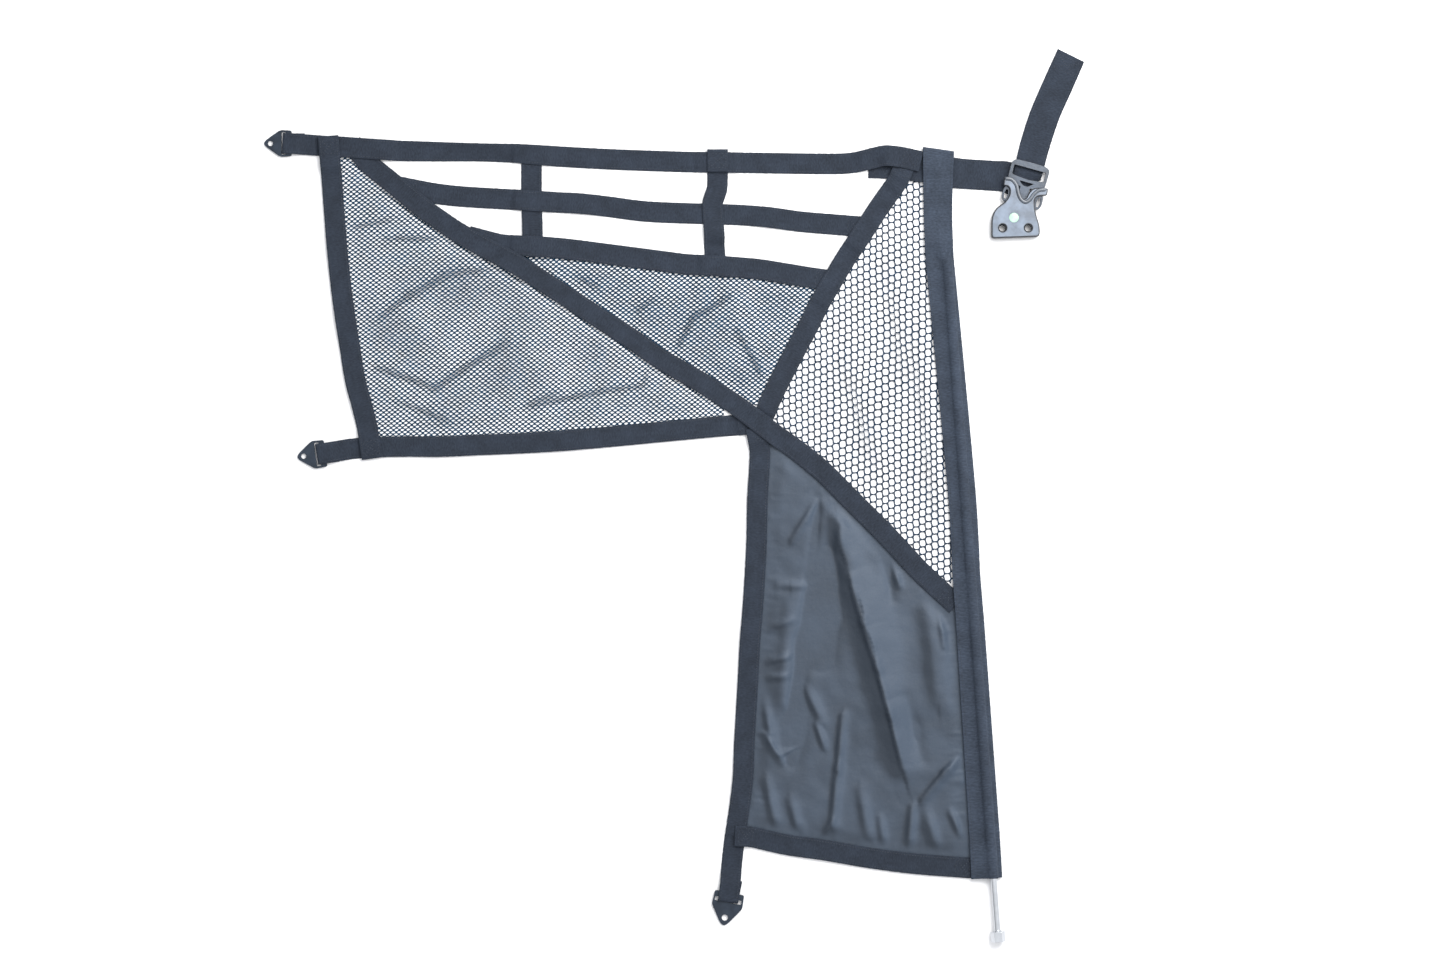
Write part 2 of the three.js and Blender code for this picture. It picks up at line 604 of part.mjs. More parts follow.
// The rod's middle line at a place along the sleeve
const rodAt = (y) => ROD_TOP.clone().lerp(ROD_HEAD, (ROD_TOP.y - y) / (ROD_TOP.y - ROD_HEAD.y));
// The arch over the rod: its shape, and the places along the sleeve where it starts and is full
const ARCH = { radius: 5.6, shoulder: 40, rightFoot: 6, leftFoot: 7.5, start: 285, full: 267 };
const SLANT = { slope: 0.14, from: 385, to: 404 }; // the sleeve's upper edge falls to the right

// Middle surface of the sleeve across one station, from its right edge to its left: offset and height.
function sleeveMiddle(spot, arch) {
  const half = spot.width / 2;
  const step = -half + LANE + LANE_STEP;
  const level = (offset) => (offset < step ? spot.base : spot.rightBase) + WEBBING / 2;
  if (arch === undefined) {
    const offsets = [half, 0.75 * half, 0.5 * half, 0.3 * half, step + 1, step - LANE_STEP, -half];
    return offsets.map((offset) => new THREE.Vector2(offset, level(offset)));
  }
  const rod = rodAt(spot.y);
  const offset = rod.x - spot.x;
  const shoulder = THREE.MathUtils.degToRad(ARCH.shoulder);
  const [aside, above] = [ARCH.radius * Math.cos(shoulder), ARCH.radius * Math.sin(shoulder)];
  return [
    [half, level(half)], [offset + ARCH.rightFoot, level(half) + 1], [offset + aside, rod.z + above],
    [offset, rod.z + ARCH.radius], [offset - aside, rod.z + above],
    [offset - ARCH.leftFoot, spot.base + WEBBING / 2], [-half, spot.base + WEBBING / 2],
  ].map(([across, height]) => new THREE.Vector2(across, THREE.MathUtils.lerp(level(across), height, arch)));
}

// Gives the middle surface its thickness and places it. Side 1 has the outer face up, side -1 down.
function sleeveRing(spot, middle, side) {
  const slant = SLANT.slope * THREE.MathUtils.smoothstep(spot.y, SLANT.from, SLANT.to);
  const faces = [side, -side].map((up) => middle.map((point, i) => {
    const before = middle[Math.max(0, i - 1)];
    const after = middle[Math.min(middle.length - 1, i + 1)];
    const normals = [[before, point], [point, after]].filter(([a, b]) => a !== b)
      .map(([a, b]) => new THREE.Vector2(b.y - a.y, a.x - b.x).normalize());
    const normal = normals[0].clone().add(normals.at(-1)).normalize();
    const length = (up * WEBBING) / 2 / Math.max(0.6, normal.dot(normals[0]));
    const [across, height] = [point.x + normal.x * length, point.y + normal.y * length];
    return new THREE.Vector3(
      spot.x - spot.dy * across, spot.y + spot.dx * across - slant * across, height);
  }));
  return [...faces[0], ...faces[1].reverse()];
}

function sleeveGeometry(back, front) {
  const archOf = (y) => 1 - THREE.MathUtils.clamp((y - ARCH.full) / (ARCH.start - ARCH.full), 0, 1);
  const frontSpots = thin(front.map((spot) => ({ ...spot, arch: archOf(spot.y) })));
  const backRings = thin(back).reverse().map((spot) => sleeveRing(spot, sleeveMiddle(spot), -1));
  const top = frontSpots[0];
  const [low, high] = [back[0].base + WEBBING / 2, top.base + WEBBING / 2];
  const turnRings = [30, 70, 110, 150].map((degrees) => {
    const angle = THREE.MathUtils.degToRad(degrees);
    const slant = SLANT.slope;
    const radius = (high - low) / 2;
    const middle = sleeveMiddle(top, 0).map((point) => new THREE.Vector3(
      top.x + point.x, top.y - slant * point.x + radius * Math.sin(angle),
      (high + low) / 2 - radius * Math.cos(angle)));
    const out = new THREE.Vector3(0, Math.sin(angle), -Math.cos(angle)).multiplyScalar(WEBBING / 2);
    return [...middle.map((p) => p.clone().add(out)), ...middle.map((p) => p.clone().sub(out)).reverse()];
  });
  const frontRings = frontSpots.map((spot) => sleeveRing(spot, sleeveMiddle(spot, spot.arch), 1));
  return loft([...backRings, ...turnRings, ...frontRings]);
}

// The nets and the panel lie lowest, under the straps that hold their edges.
const map = new HeightMap();
const sheets = {
  fine_net_left: [sheetGeometry(OUTLINES.fineLeft, FOLDS.fineLeft, NET_CELL), fineNetFinish],
  fine_net_middle: [sheetGeometry(OUTLINES.fineMiddle, FOLDS.fineMiddle, NET_CELL), fineNetFinish],
  fabric_panel: [sheetGeometry(OUTLINES.fabric, FOLDS.fabric, PANEL_CELL), fabricFinish],
  coarse_net: [coarseNetGeometry(OUTLINES.coarse, FOLDS.coarse), coarseNetFinish],
};
Object.entries(sheets).forEach(([name, [geometry, material]]) => {
  addPiece(name, geometry, material);
  map.addSheet(geometry);
});

// The tabs, each tipped a little by the strap that passes under its bar
TABS.forEach((tab) => {
  const { turn, barFront, slope, heading } = tabFrame(tab);
  const holder = new THREE.Group();
  holder.position.set(tab.x, tab.y, 0);
  holder.rotation.set(0, -Math.asin(slope), turn, 'ZYX');
  netDoor.add(holder);
  addPiece(tab.name, toGeometry(toSolid(tabGeometry(tab))), tabFinish, holder);
  const spot = (along, top, width) => (
    { x: tab.x + heading.x * along, y: tab.y + heading.y * along, top, width });
  map.cover(spot(barFront, WEBBING, NARROW), spot(barFront + TAB_RETURN, WEBBING, NARROW));
  map.cover(spot(barFront + 1, barFront * slope + TAB_PLATE, tab.width),
    spot(tab.length, tab.length * slope + TAB_PLATE, tab.width));
});

// Adds the strap's turn around a tab's bar and the length sewn back below. End 0 is the strap's start.
function withTabLoop(sections, tabName) {
  const { heading } = tabFrame(TABS.find((tab) => tab.name === tabName));
  const atStart = heading.x * (sections.at(-1).left.x - sections[0].left.x)
    + heading.y * (sections.at(-1).left.y - sections[0].left.y) > 0;
  const ordered = atStart ? [...sections].reverse() : sections;
  const end = ordered.at(-1);
  const radius = (end.left.z - WEBBING / 2) / 2;
  const turn = turnBack(end, heading.clone().negate(), radius, false);
  const back = shifted(turn.at(-1), heading.x * TAB_RETURN, heading.y * TAB_RETURN);
  return [...ordered, ...turn, back];
}

// Straps are laid in the order in which they were sewn, the lowest first.
const sectionsOf = (stations) => thin(stations).map(toSection);
const straps = {};
const sleeveBackTop = laySleeve(map, ROUTES.sleeveTop);
const buckleRun = lay(map, ROUTES.buckle, WIDE);
straps.upright_left = sectionsOf(lay(map, ROUTES.uprightLeft));
straps.middle_strap = sectionsOf(lay(map, ROUTES.middle));
const uprightRun = lay(map, ROUTES.uprightRight);
straps.low_strap = sectionsOf(lay(map, ROUTES.low));
straps.short_diagonal_strap = sectionsOf(lay(map, ROUTES.shortDiagonal));
straps.bottom_left_strap = withTabLoop(sectionsOf(lay(map, ROUTES.bottomLeft)), 'tab_middle');
straps.panel_left_strap = withTabLoop(sectionsOf(lay(map, ROUTES.panelLeft)), 'tab_lower');
straps.long_diagonal_strap = sectionsOf(lay(map, ROUTES.longDiagonal));
straps.top_strap = withTabLoop(sectionsOf(lay(map, ROUTES.top)), 'tab_upper');
straps.left_strap = sectionsOf(lay(map, ROUTES.left));
const uprightOver = lay(map, ROUTES.uprightFold);
straps.panel_bottom_strap = sectionsOf(lay(map, ROUTES.bottom));
const sleeveBackLow = laySleeve(map, ROUTES.sleeve);
const sleeveFront = [...laySleeve(map, ROUTES.sleeveTop), ...laySleeve(map, ROUTES.sleeve).slice(1)];

// The right upright comes up behind the top strap and folds over its upper edge.
const upperEnd = toSection(uprightOver[0]);
const lowerEnd = sectionsOf(uprightRun).reverse();
const foldRadius = (upperEnd.left.z - lowerEnd.at(-1).left.z) / 2;
straps.upright_right = [
  ...lowerEnd,
  ...turnBack(lowerEnd.at(-1), new THREE.Vector3(0, 1, 0), foldRadius, true),
  ...sectionsOf(uprightOver).slice(1).map((section) => (
    { left: section.right, right: section.left, normal: section.normal.clone().negate() })),
];

Object.entries(straps).forEach(([name, sections]) => addPiece(name, ribbon(sections), webbingFinish));

addPiece('rod_sleeve', sleeveGeometry([...sleeveBackTop, ...sleeveBackLow.slice(1)], sleeveFront),
  webbingFinish);

// The buckle strap runs under the buckle, folds over on a slant there, and leaves under its top bar.
const FOLD_LINE = { innerX: 354.5, innerY: 351.5, outerX: 391.5, outerY: 372.5 };
const TAIL = rows(['outerX', 'outerY', 'innerX', 'innerY', 'base'], [
  [392.2, 373.8, 358, 377.3, 1.9], [393.2, 376.6, 359.3, 382.4, 3.2], [394, 379.8, 360.4, 388, 1.9],
  [396.5, 388.5, 361.5, 395.5, 1.9], [400.6, 403.5, 366.4, 416.5, 0], [414.4, 446, 378.4, 454.5, 0.8],
  [430, 481, 395, 493.5, 0], [445.4, 516.5, 412.8, 532.7, 0],
]);
const at = (x, y, base) => new THREE.Vector3(x, y, base + WEBBING / 2);
const up = new THREE.Vector3(0, 0, 1);
const down = new THREE.Vector3(0, 0, -1);
const foldSection = {
  left: at(FOLD_LINE.outerX, FOLD_LINE.outerY, 0),
  right: at(FOLD_LINE.innerX, FOLD_LINE.innerY, 0),
  normal: up,
};
const foldHeading = foldSection.left.clone().sub(foldSection.right).normalize().cross(up);
addPiece('buckle_strap', ribbon([
  ...sectionsOf(buckleRun),
  { left: at(356, 393, 0), right: at(343.8, 356.8, 0), normal: up },
  foldSection,
  ...turnBack(foldSection, foldHeading, (WEBBING + GAP) / 2, true, 4),
  ...TAIL.map(({ outerX, outerY, innerX, innerY, base }) => (
    { left: at(outerX, outerY, base), right: at(innerX, innerY, base), normal: down })),
]), webbingFinish);

// Steel rod with a six-sided head
function addRod() {
  const along = ROD_HEAD.clone().sub(ROD_TOP);
  const length = along.length();
  const holder = new THREE.Group();
  holder.position.copy(ROD_TOP);
  const axis = along.clone().normalize();
  const side = axis.clone().cross(up).normalize();
  const turned = new THREE.Matrix4().makeBasis(side, axis, side.clone().cross(axis));
  holder.quaternion.setFromRotationMatrix(turned);
  netDoor.add(holder);
  const bar = new THREE.CylinderGeometry(ROD.radius, ROD.radius, length + 1, ROD.sides)
    .translate(0, length / 2, 0);
  const { collarRadius, collarLength, sides } = ROD;
  const collar = new THREE.CylinderGeometry(collarRadius, collarRadius, collarLength + 1, sides)
    .translate(0, length - collarLength / 2 + 0.5, 0);
  const head = ROD.headWidth / 2;
  const hexagon = new THREE.CylinderGeometry(head, head, ROD.headLength, 6, 1, false, Math.PI / 6)
    .translate(0, length + ROD.headLength / 2, 0);
  const solid = toSolid(bar).add(toSolid(collar)).add(toSolid(hexagon));
  addPiece('steel_rod', toGeometry(solid), rodFinish, holder);
}
addRod();

// Buckle, male half: a frame with its bar, two side prongs that end in loops, and a middle tongue
const FRAME_HALF = rows(['x', 'y', 'radius'], [
  [0, 4.4, 6], [19, 3.8, 3], [24, 0.5, 3], [23.8, -19, 4], [21.5, -27, 3], [25.2, -35, 3], [25.4, -46, 4],
  [20.3, -51, 3], [15.7, -46, 3], [15.6, -35, 2], [14.4, -27, 1.5], [6, -27, 1], [6, -46, 1.5],
]);
const WINDOW = rows(['x', 'y', 'radius'], [[-20, -3.2, 1.5], [-20, -15, 1.5], [0, -17.6, 8], [20, -15, 1.5],
  [20, -3.2, 1.5]]);
const EYE = rows(['x', 'y', 'radius'], [[-9, -20.6, 1], [-3, -25.6, 1], [3, -25.6, 1], [9, -20.6, 1]]);
const LOOP = { x: 20.5, y: -41, halfWidth: 2.4, halfHeight: 6.6 };

const mirrored = (half) => [
  ...half, ...[...half].reverse().filter(({ x }) => x > 0).map((row) => ({ ...row, x: -row.x }))];

function maleGeometry() {
  const shape = roundedShape(mirrored(FRAME_HALF));
  shape.holes.push(roundedPath(WINDOW), roundedPath(EYE));
  [-1, 1].forEach((side) => {
    const loop = new THREE.Path();
    loop.absellipse(side * LOOP.x, LOOP.y, LOOP.halfWidth, LOOP.halfHeight, 0, 2 * Math.PI, false);
    shape.holes.push(loop);
  });
  const depth = MALE.top - MALE.bottom;
  return new THREE.ExtrudeGeometry(shape, { depth, bevelEnabled: false, curveSegments: 3 })
    .translate(0, 0, MALE.bottom);
}

const maleHolder = new THREE.Group();
maleHolder.position.set(MALE.x, MALE.y, 0);
maleHolder.rotation.z = THREE.MathUtils.degToRad(MALE.turn);
netDoor.add(maleHolder);
addPiece('buckle_frame', toGeometry(toSolid(maleGeometry())), frameFinish, maleHolder);

// Buckle, female half: a bolt-down plate with two curved horns over the prongs
const PLATE_OUTLINE = rows(['x', 'y', 'radius'], [
  [-29.6, -12.8, 4], [29.9, -10.6, 4], [29.9, 2.3, 6], [24.2, 19.8, 6], [23.2, 34, 2], [26.2, 38.8, 3],
  [38.8, 39.6, 2], [40.2, 48.4, 2], [31.7, 49.2, 4], [22.7, 49.4, 4], [16.5, 43.7, 4], [12.6, 35.2, 3],
  [6.1, 36.7, 3], [2.4, 45.8, 4], [-0.5, 55.9, 4], [-6.2, 61.9, 3], [-13.6, 63.4, 2], [-15.1, 51.8, 2],
  [-9.4, 51.4, 2], [-7, 47.9, 2], [-7, 41.4, 3], [-12.8, 31.2, 5], [-23.5, 25.5, 6], [-29.4, 13.9, 6],
]);
const MOUTH_HALF = rows(['x', 'y', 'radius'], [ // the mouth, around the male half
  [30, 12, 0], [30, -51 - PLAY, 0], [15.6 - PLAY, -51 - PLAY, 0], [15.6 - PLAY, -34, 0],
  [14.2 - PLAY, -31, 0], [14.2 - PLAY, -27 - PLAY, 0], [6 + PLAY, -27 - PLAY, 0], [6 + PLAY, -46 - PLAY, 0],
]);
const HORN_ROOT = -44; // behind this the plate is solid down to the surface
const [UNDER_HALF, UNDER_END] = [40, 20]; // half the width and the far end of the space under the horns

function block(shape, bottom, top) {
  return new THREE.ExtrudeGeometry(shape, { depth: top - bottom, bevelEnabled: false })
    .translate(0, 0, bottom);
}

function plateGeometry() {
  const { thickness, bevel, chamfer, holeRadius, holeSpacing } = PLATE;
  const body = new THREE.ExtrudeGeometry(roundedShape(PLATE_OUTLINE), {
    depth: thickness - 2 * bevel, bevelThickness: bevel, bevelSize: bevel, bevelOffset: -bevel,
    bevelSegments: 1, curveSegments: 2,
  }).translate(0, 0, bevel);
  const intoPlate = (geometry) => geometry.rotateZ(THREE.MathUtils.degToRad(MALE.turn))
    .translate(MALE.x - PLATE.x, MALE.y - PLATE.y, 0);
  const floor = MALE.bottom - PLAY;
  const under = roundedShape(rows(['x', 'y', 'radius'], [
    [-UNDER_HALF, HORN_ROOT], [UNDER_HALF, HORN_ROOT], [UNDER_HALF, UNDER_END], [-UNDER_HALF, UNDER_END],
  ]));
  let solid = toSolid(body)
    .subtract(toSolid(intoPlate(block(under, -2, floor))))
    .subtract(toSolid(intoPlate(block(roundedShape(mirrored(MOUTH_HALF)), floor - 0.01, MALE.top + PLAY))));
  [-1, 1].forEach((side) => {
    const bolt = new THREE.CylinderGeometry(holeRadius, holeRadius, 3 * thickness, 20).rotateX(Math.PI / 2);
    const mouth = new THREE.CylinderGeometry(holeRadius + chamfer, holeRadius, chamfer, 20)
      .rotateX(Math.PI / 2).translate(0, 0, thickness - chamfer / 2 + 0.05);
    [bolt, mouth].forEach((cutter) => {
      solid = solid.subtract(toSolid(cutter.translate((side * holeSpacing) / 2, 0, 0)));
    });
  });
  return toGeometry(solid);
}

const plate = addPiece('anchor_plate', plateGeometry(), plateFinish);
plate.position.set(PLATE.x, PLATE.y, 0);

// The group is moved so that its origin lies on the surface, under the middle of its outline.
netDoor.updateMatrixWorld(true);
const reach = new THREE.Box3().setFromObject(netDoor, true);
const centre = reach.getCenter(new THREE.Vector3());
netDoor.position.set(-centre.x, -centre.y, -reach.min.z);
netDoor.updateMatrixWorld(true);

export default netDoor;
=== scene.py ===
"""Door safety net for an off-road vehicle, lying face up on a pale floor.

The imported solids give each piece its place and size. This script dresses them: woven straps with
their seams, two fine nets, a coarse net, a creased fabric panel, steel tabs, a rod and a buckle.
"""
from __future__ import annotations

import logging
import math
from bisect import bisect_right
from dataclasses import dataclass, field
from enum import Enum
from typing import Iterator, Sequence

import bmesh
import bpy
from mathutils import Matrix, Vector, kdtree, noise


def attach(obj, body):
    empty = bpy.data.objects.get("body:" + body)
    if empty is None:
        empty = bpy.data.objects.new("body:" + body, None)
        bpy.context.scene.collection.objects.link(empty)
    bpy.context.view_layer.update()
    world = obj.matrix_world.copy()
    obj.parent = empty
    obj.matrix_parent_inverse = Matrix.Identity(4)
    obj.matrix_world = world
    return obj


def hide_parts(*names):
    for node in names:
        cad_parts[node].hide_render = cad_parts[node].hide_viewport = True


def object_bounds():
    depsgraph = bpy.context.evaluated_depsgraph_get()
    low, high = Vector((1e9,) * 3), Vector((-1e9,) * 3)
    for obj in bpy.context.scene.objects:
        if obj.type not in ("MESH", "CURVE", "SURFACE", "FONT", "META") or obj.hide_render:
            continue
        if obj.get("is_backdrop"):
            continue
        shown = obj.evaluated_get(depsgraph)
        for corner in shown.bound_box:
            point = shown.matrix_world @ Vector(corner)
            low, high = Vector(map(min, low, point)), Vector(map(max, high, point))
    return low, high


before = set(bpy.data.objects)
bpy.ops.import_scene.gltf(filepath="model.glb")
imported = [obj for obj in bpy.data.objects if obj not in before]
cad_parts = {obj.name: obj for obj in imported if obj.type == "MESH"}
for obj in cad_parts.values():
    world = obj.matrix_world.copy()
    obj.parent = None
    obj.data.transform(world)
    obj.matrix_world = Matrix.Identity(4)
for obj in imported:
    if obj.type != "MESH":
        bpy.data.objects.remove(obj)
CAD_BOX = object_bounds()

LOG = logging.getLogger("door_net")
MM = 0.001
# The way to the light, by which the panel's colour is painted darker or lighter
LIGHT_SIDE = Vector((0.9, 0.45, 0.0)).normalized()
UP = Vector((0.0, 0.0, 1.0))

# How the photograph's pixels lie on the floor
PIXEL = 1.23 * MM
PICTURE_CENTRE = (722.5, 481.5)
CENTRE_ON_FLOOR = (0.05937, 0.01672)

WEBBING_THICKNESS = 1.4 * MM

# Where the noise that sways the nets starts, so that each run gives the same nets
NOISE_SEED = 7

# Numbers that a mesh carries for the light and shade painted into its colour: a rim and walls painted darker,
# and cloth painted darker or lighter by how it leans from the light
RIM_SHADE = "rim"
LEAN_SHADE = "tilt"

# The sockets that a colour mix has among those for other kinds of value
MIX_INPUTS = (0, 6, 7)
MIX_RESULT = 2


def on_floor(px: float, py: float) -> Vector:
    """Place a pixel of the photograph on the floor.

    Args:
        px: Pixels from the picture's left edge.
        py: Pixels from its upper edge.

    Returns:
        The place on the floor, in metres.
    """
    x = CENTRE_ON_FLOOR[0] + (px - PICTURE_CENTRE[0]) * PIXEL
    return Vector((x, CENTRE_ON_FLOOR[1] + (PICTURE_CENTRE[1] - py) * PIXEL, 0.0))


def smoothstep(value: float, low: float, high: float) -> float:
    """Rise softly from 0 at low to 1 at high."""
    share = min(max((value - low) / (high - low), 0.0), 1.0)
    return share * share * (3.0 - 2.0 * share)


class Slot(Enum):
    """The material slots."""

    WEBBING = "webbing"
    FINE_NET = "fine_net"
    COARSE_NET = "coarse_net"
    PANEL = "panel_fabric"
    TAB = "tab_steel"
    PLATE = "plate_plastic"
    BUCKLE = "buckle_plastic"
    DOT = "dot_inlay"
    ROD = "rod_steel"


class Shader:
    """One material under construction, with short calls for the nodes that the finishes share."""

    def __init__(self, name: str) -> None:
        """Start a material that has a surface shader and nothing else."""
        self.material = bpy.data.materials.new(name)
        self.material.use_nodes = True
        self.tree = self.material.node_tree
        self.surface = next(n for n in self.tree.nodes if n.type == "BSDF_PRINCIPLED")

    def node(self, kind: str, **inputs: object) -> bpy.types.Node:
        """Add a node and set or link its inputs.

        Args:
            kind: The node's type without its common beginning.
            inputs: Values or sockets by input name, with _ for a space.

        Returns:
            The new node.
        """
        made = self.tree.nodes.new("ShaderNode" + kind)
        for key, value in inputs.items():
            self.feed(made.inputs[key.replace("_", " ")], value)
        return made

    def feed(self, socket: bpy.types.NodeSocket, value: object) -> None:
        """Link a socket to an input, or set the input's value."""
        if isinstance(value, bpy.types.NodeSocket):
            self.tree.links.new(value, socket)
        else:
            socket.default_value = value

    def set(self, **inputs: object) -> None:
        """Set or link the surface shader's own inputs."""
        for key, value in inputs.items():
            self.feed(self.surface.inputs[key.replace("_", " ")], value)

    def place(self, stretch: tuple[float, float, float], woven: bool) -> bpy.types.NodeSocket:
        """Scale the surface's own coordinates, in metres.

        Args:
            stretch: Factors along each axis.
            woven: Whether the coordinates follow the cloth, or else the object's space.

        Returns:
            The scaled coordinates.
        """
        source = self.node("TexCoord").outputs["UV" if woven else "Object"]
        return self.node("Mapping", Vector=source, Scale=stretch).outputs["Vector"]

    def body(self) -> bpy.types.NodeSocket:
        """Return the object's own coordinates, in metres."""
        return self.place((1.0, 1.0, 1.0), woven=False)

    def noise(self, where: bpy.types.NodeSocket, scale: float, detail: float = 2.0) -> bpy.types.NodeSocket:
        """Add soft noise and return its value."""
        return self.node("TexNoise", Vector=where, Scale=scale, Detail=detail).outputs["Fac"]

    def bands(self, where: bpy.types.NodeSocket, axis: str, period: float) -> bpy.types.NodeSocket:
        """Add even ribs across an axis.

        Args:
            where: Coordinates in metres.
            axis: X, Y or Z, along which the ribs follow each other.
            period: Metres from one rib to the next.

        Returns:
            The ribs' height, from 0 to 1.
        """
        made = self.node("TexWave", Vector=where, Scale=math.tau / (20.0 * period), Distortion=0.0)
        made.bands_direction = axis
        return made.outputs["Fac"]

    def attribute(self, name: str) -> bpy.types.NodeSocket:
        """Read a number that each corner of the mesh carries."""
        node = self.tree.nodes.new("ShaderNodeAttribute")
        node.attribute_name = name
        return node.outputs["Fac"]

    def maths(self, operation: str, first: object, second: object) -> bpy.types.NodeSocket:
        """Add a sum, product or other step with two values."""
        made = self.tree.nodes.new("ShaderNodeMath")
        made.operation = operation
        self.feed(made.inputs[0], first)
        self.feed(made.inputs[1], second)
        return made.outputs[0]

    def ramp(self, factor: bpy.types.NodeSocket,
             stops: Sequence[tuple[float, tuple]]) -> bpy.types.NodeSocket:
        """Turn a value into a colour.

        Args:
            factor: The value.
            stops: Two or more rows of a place from 0 to 1 and a linear colour.

        Returns:
            The colour.
        """
        made = self.node("ValToRGB", Fac=factor)
        elements = made.color_ramp.elements
        while len(elements) < len(stops):
            elements.new(0.5)
        for element, (place, colour) in zip(elements, stops):
            element.position = place
            element.color = (*colour, 1.0)
        return made.outputs["Color"]

    def mix(self, share: bpy.types.NodeSocket, first: object, second: object) -> bpy.types.NodeSocket:
        """Blend from one colour to another.

        Args:
            share: How much of the second colour shows, from 0 to 1.
            first: The first colour or its socket.
            second: The second colour or its socket.

        Returns:
            The blended colour.
        """
        made = self.tree.nodes.new("ShaderNodeMix")
        made.data_type = "RGBA"
        for index, value in zip(MIX_INPUTS, (share, first, second)):
            self.feed(made.inputs[index], value)
        return made.outputs[MIX_RESULT]

    def spread(self, factor: bpy.types.NodeSocket, low: float, high: float) -> bpy.types.NodeSocket:
        """Map a value from 0 to 1 onto another range."""
        return self.node("MapRange", Value=factor, To_Min=low, To_Max=high).outputs["Result"]

    def bump(self, height: bpy.types.NodeSocket, depth: float, strength: float = 1.0) -> None:
        """Raise the surface by a height from 0 to 1 times a depth in metres, over any earlier bump."""
        made = self.node("Bump", Height=height, Distance=depth, Strength=strength)
        normal = self.surface.inputs["Normal"]
        if normal.is_linked:
            self.tree.links.new(normal.links[0].from_socket, made.inputs["Normal"])
        self.tree.links.new(made.outputs["Normal"], normal)


def tinted(colour: Sequence[float], factor: float) -> tuple[float, ...]:
    """Scale a linear colour."""
    return tuple(part * factor for part in colour)


@dataclass(frozen=True)
class Webbing:
    """Woven polyester strap: ribs across it, warp lines along it and slight streaks in its dye."""

    name: str
    rib: float
    colour: tuple[float, float, float] = (0.0218, 0.0285, 0.0418)
    warp: float = 0.9 * MM
    fibres: tuple[float, float, float] = (260.0, 620.0, 1.0)

    def build(self) -> bpy.types.Material:
        """Make the material."""
        shader = Shader(self.name)
        cloth = shader.place((1.0, 1.0, 1.0), woven=True)
        picks = shader.noise(shader.place(self.fibres, woven=True), 1.0)
        clouds = shader.noise(cloth, 38.0, 4.0)
        ribs = shader.bands(cloth, "Y", self.rib)
        lines = shader.bands(cloth, "X", self.warp)
        tone = shader.maths("MULTIPLY", picks, 0.45)
        tone = shader.maths("ADD", tone, shader.maths("MULTIPLY", clouds, 0.4))
        tone = shader.maths("ADD", tone, shader.maths("MULTIPLY", ribs, 0.15))
        low, high = tinted(self.colour, 0.55), tinted(self.colour, 1.6)
        shader.set(Base_Color=shader.ramp(tone, [(0.3, low), (0.5, self.colour), (0.7, high)]),
                   Sheen_Weight=0.06, Sheen_Roughness=0.4, Sheen_Tint=(0.55, 0.66, 0.85, 1.0),
                   Specular_IOR_Level=0.18, Roughness=shader.spread(clouds, 0.7, 0.9))
        shader.bump(shader.maths("ADD", ribs, shader.maths("MULTIPLY", lines, 0.6)), 0.16 * MM)
        shader.bump(shader.noise(cloth, 420.0), 0.12 * MM, 0.6)
        return shader.material


@dataclass(frozen=True)
class Yarn:
    """Knitted or stitched yarn: matt, a little lighter where it is rubbed."""

    name: str
    colour: tuple[float, float, float]
    twist: float = 0.8 * MM
    roughness: float = 0.75

    def build(self) -> bpy.types.Material:
        """Make the material."""
        shader = Shader(self.name)
        body = shader.body()
        tone = shader.noise(body, 60.0, 4.0)
        low, high = tinted(self.colour, 0.7), tinted(self.colour, 1.4)
        shader.set(Base_Color=shader.ramp(tone, [(0.3, low), (0.5, self.colour), (0.75, high)]),
                   Sheen_Weight=0.05, Sheen_Roughness=0.5, Specular_IOR_Level=0.2,
                   Roughness=shader.spread(tone, self.roughness, 0.9))
        shader.bump(shader.noise(body, 1.0 / self.twist, 1.0), 0.12 * MM)
        return shader.material


@dataclass(frozen=True)
class PanelCloth:
    """Coated nylon: a close plain weave with a soft shine, with painted shade where it leans away from the
    light and painted light where it leans towards it.
    """

    name: str
    colour: tuple[float, float, float] = (0.0362, 0.0518, 0.0765)
    thread: float = 0.7 * MM
    # How strongly the painted light and shade follow the cloth's lean
    lean_shade_strength: float = 1.3

    def build(self) -> bpy.types.Material:
        """Make the material."""
        shader = Shader(self.name)
        body = shader.body()
        clouds = shader.noise(body, 22.0, 5.0)
        # Painted light and shade: the colour darkens where the cloth leans away from the light and lightens
        # where it leans towards it
        lean = shader.maths("MULTIPLY", shader.attribute(LEAN_SHADE), self.lean_shade_strength)
        tone = shader.maths("ADD", shader.maths("ADD", shader.maths("MULTIPLY", clouds, 0.5), 0.25), lean)
        low, high = tinted(self.colour, 0.6), tinted(self.colour, 1.35)
        shader.set(Base_Color=shader.ramp(tone, [(0.2, low), (0.5, self.colour), (0.8, high)]),
                   Sheen_Weight=0.1, Sheen_Roughness=0.3, Sheen_Tint=(0.7, 0.8, 0.95, 1.0),
                   Specular_IOR_Level=0.4, Roughness=shader.spread(clouds, 0.38, 0.6))
        across, along = shader.bands(body, "X", self.thread), shader.bands(body, "Y", self.thread)
        shader.bump(shader.maths("MULTIPLY", across, along), 0.1 * MM)
        shader.bump(shader.noise(body, 95.0, 5.0), 1.3 * MM, 0.55)
        return shader.material


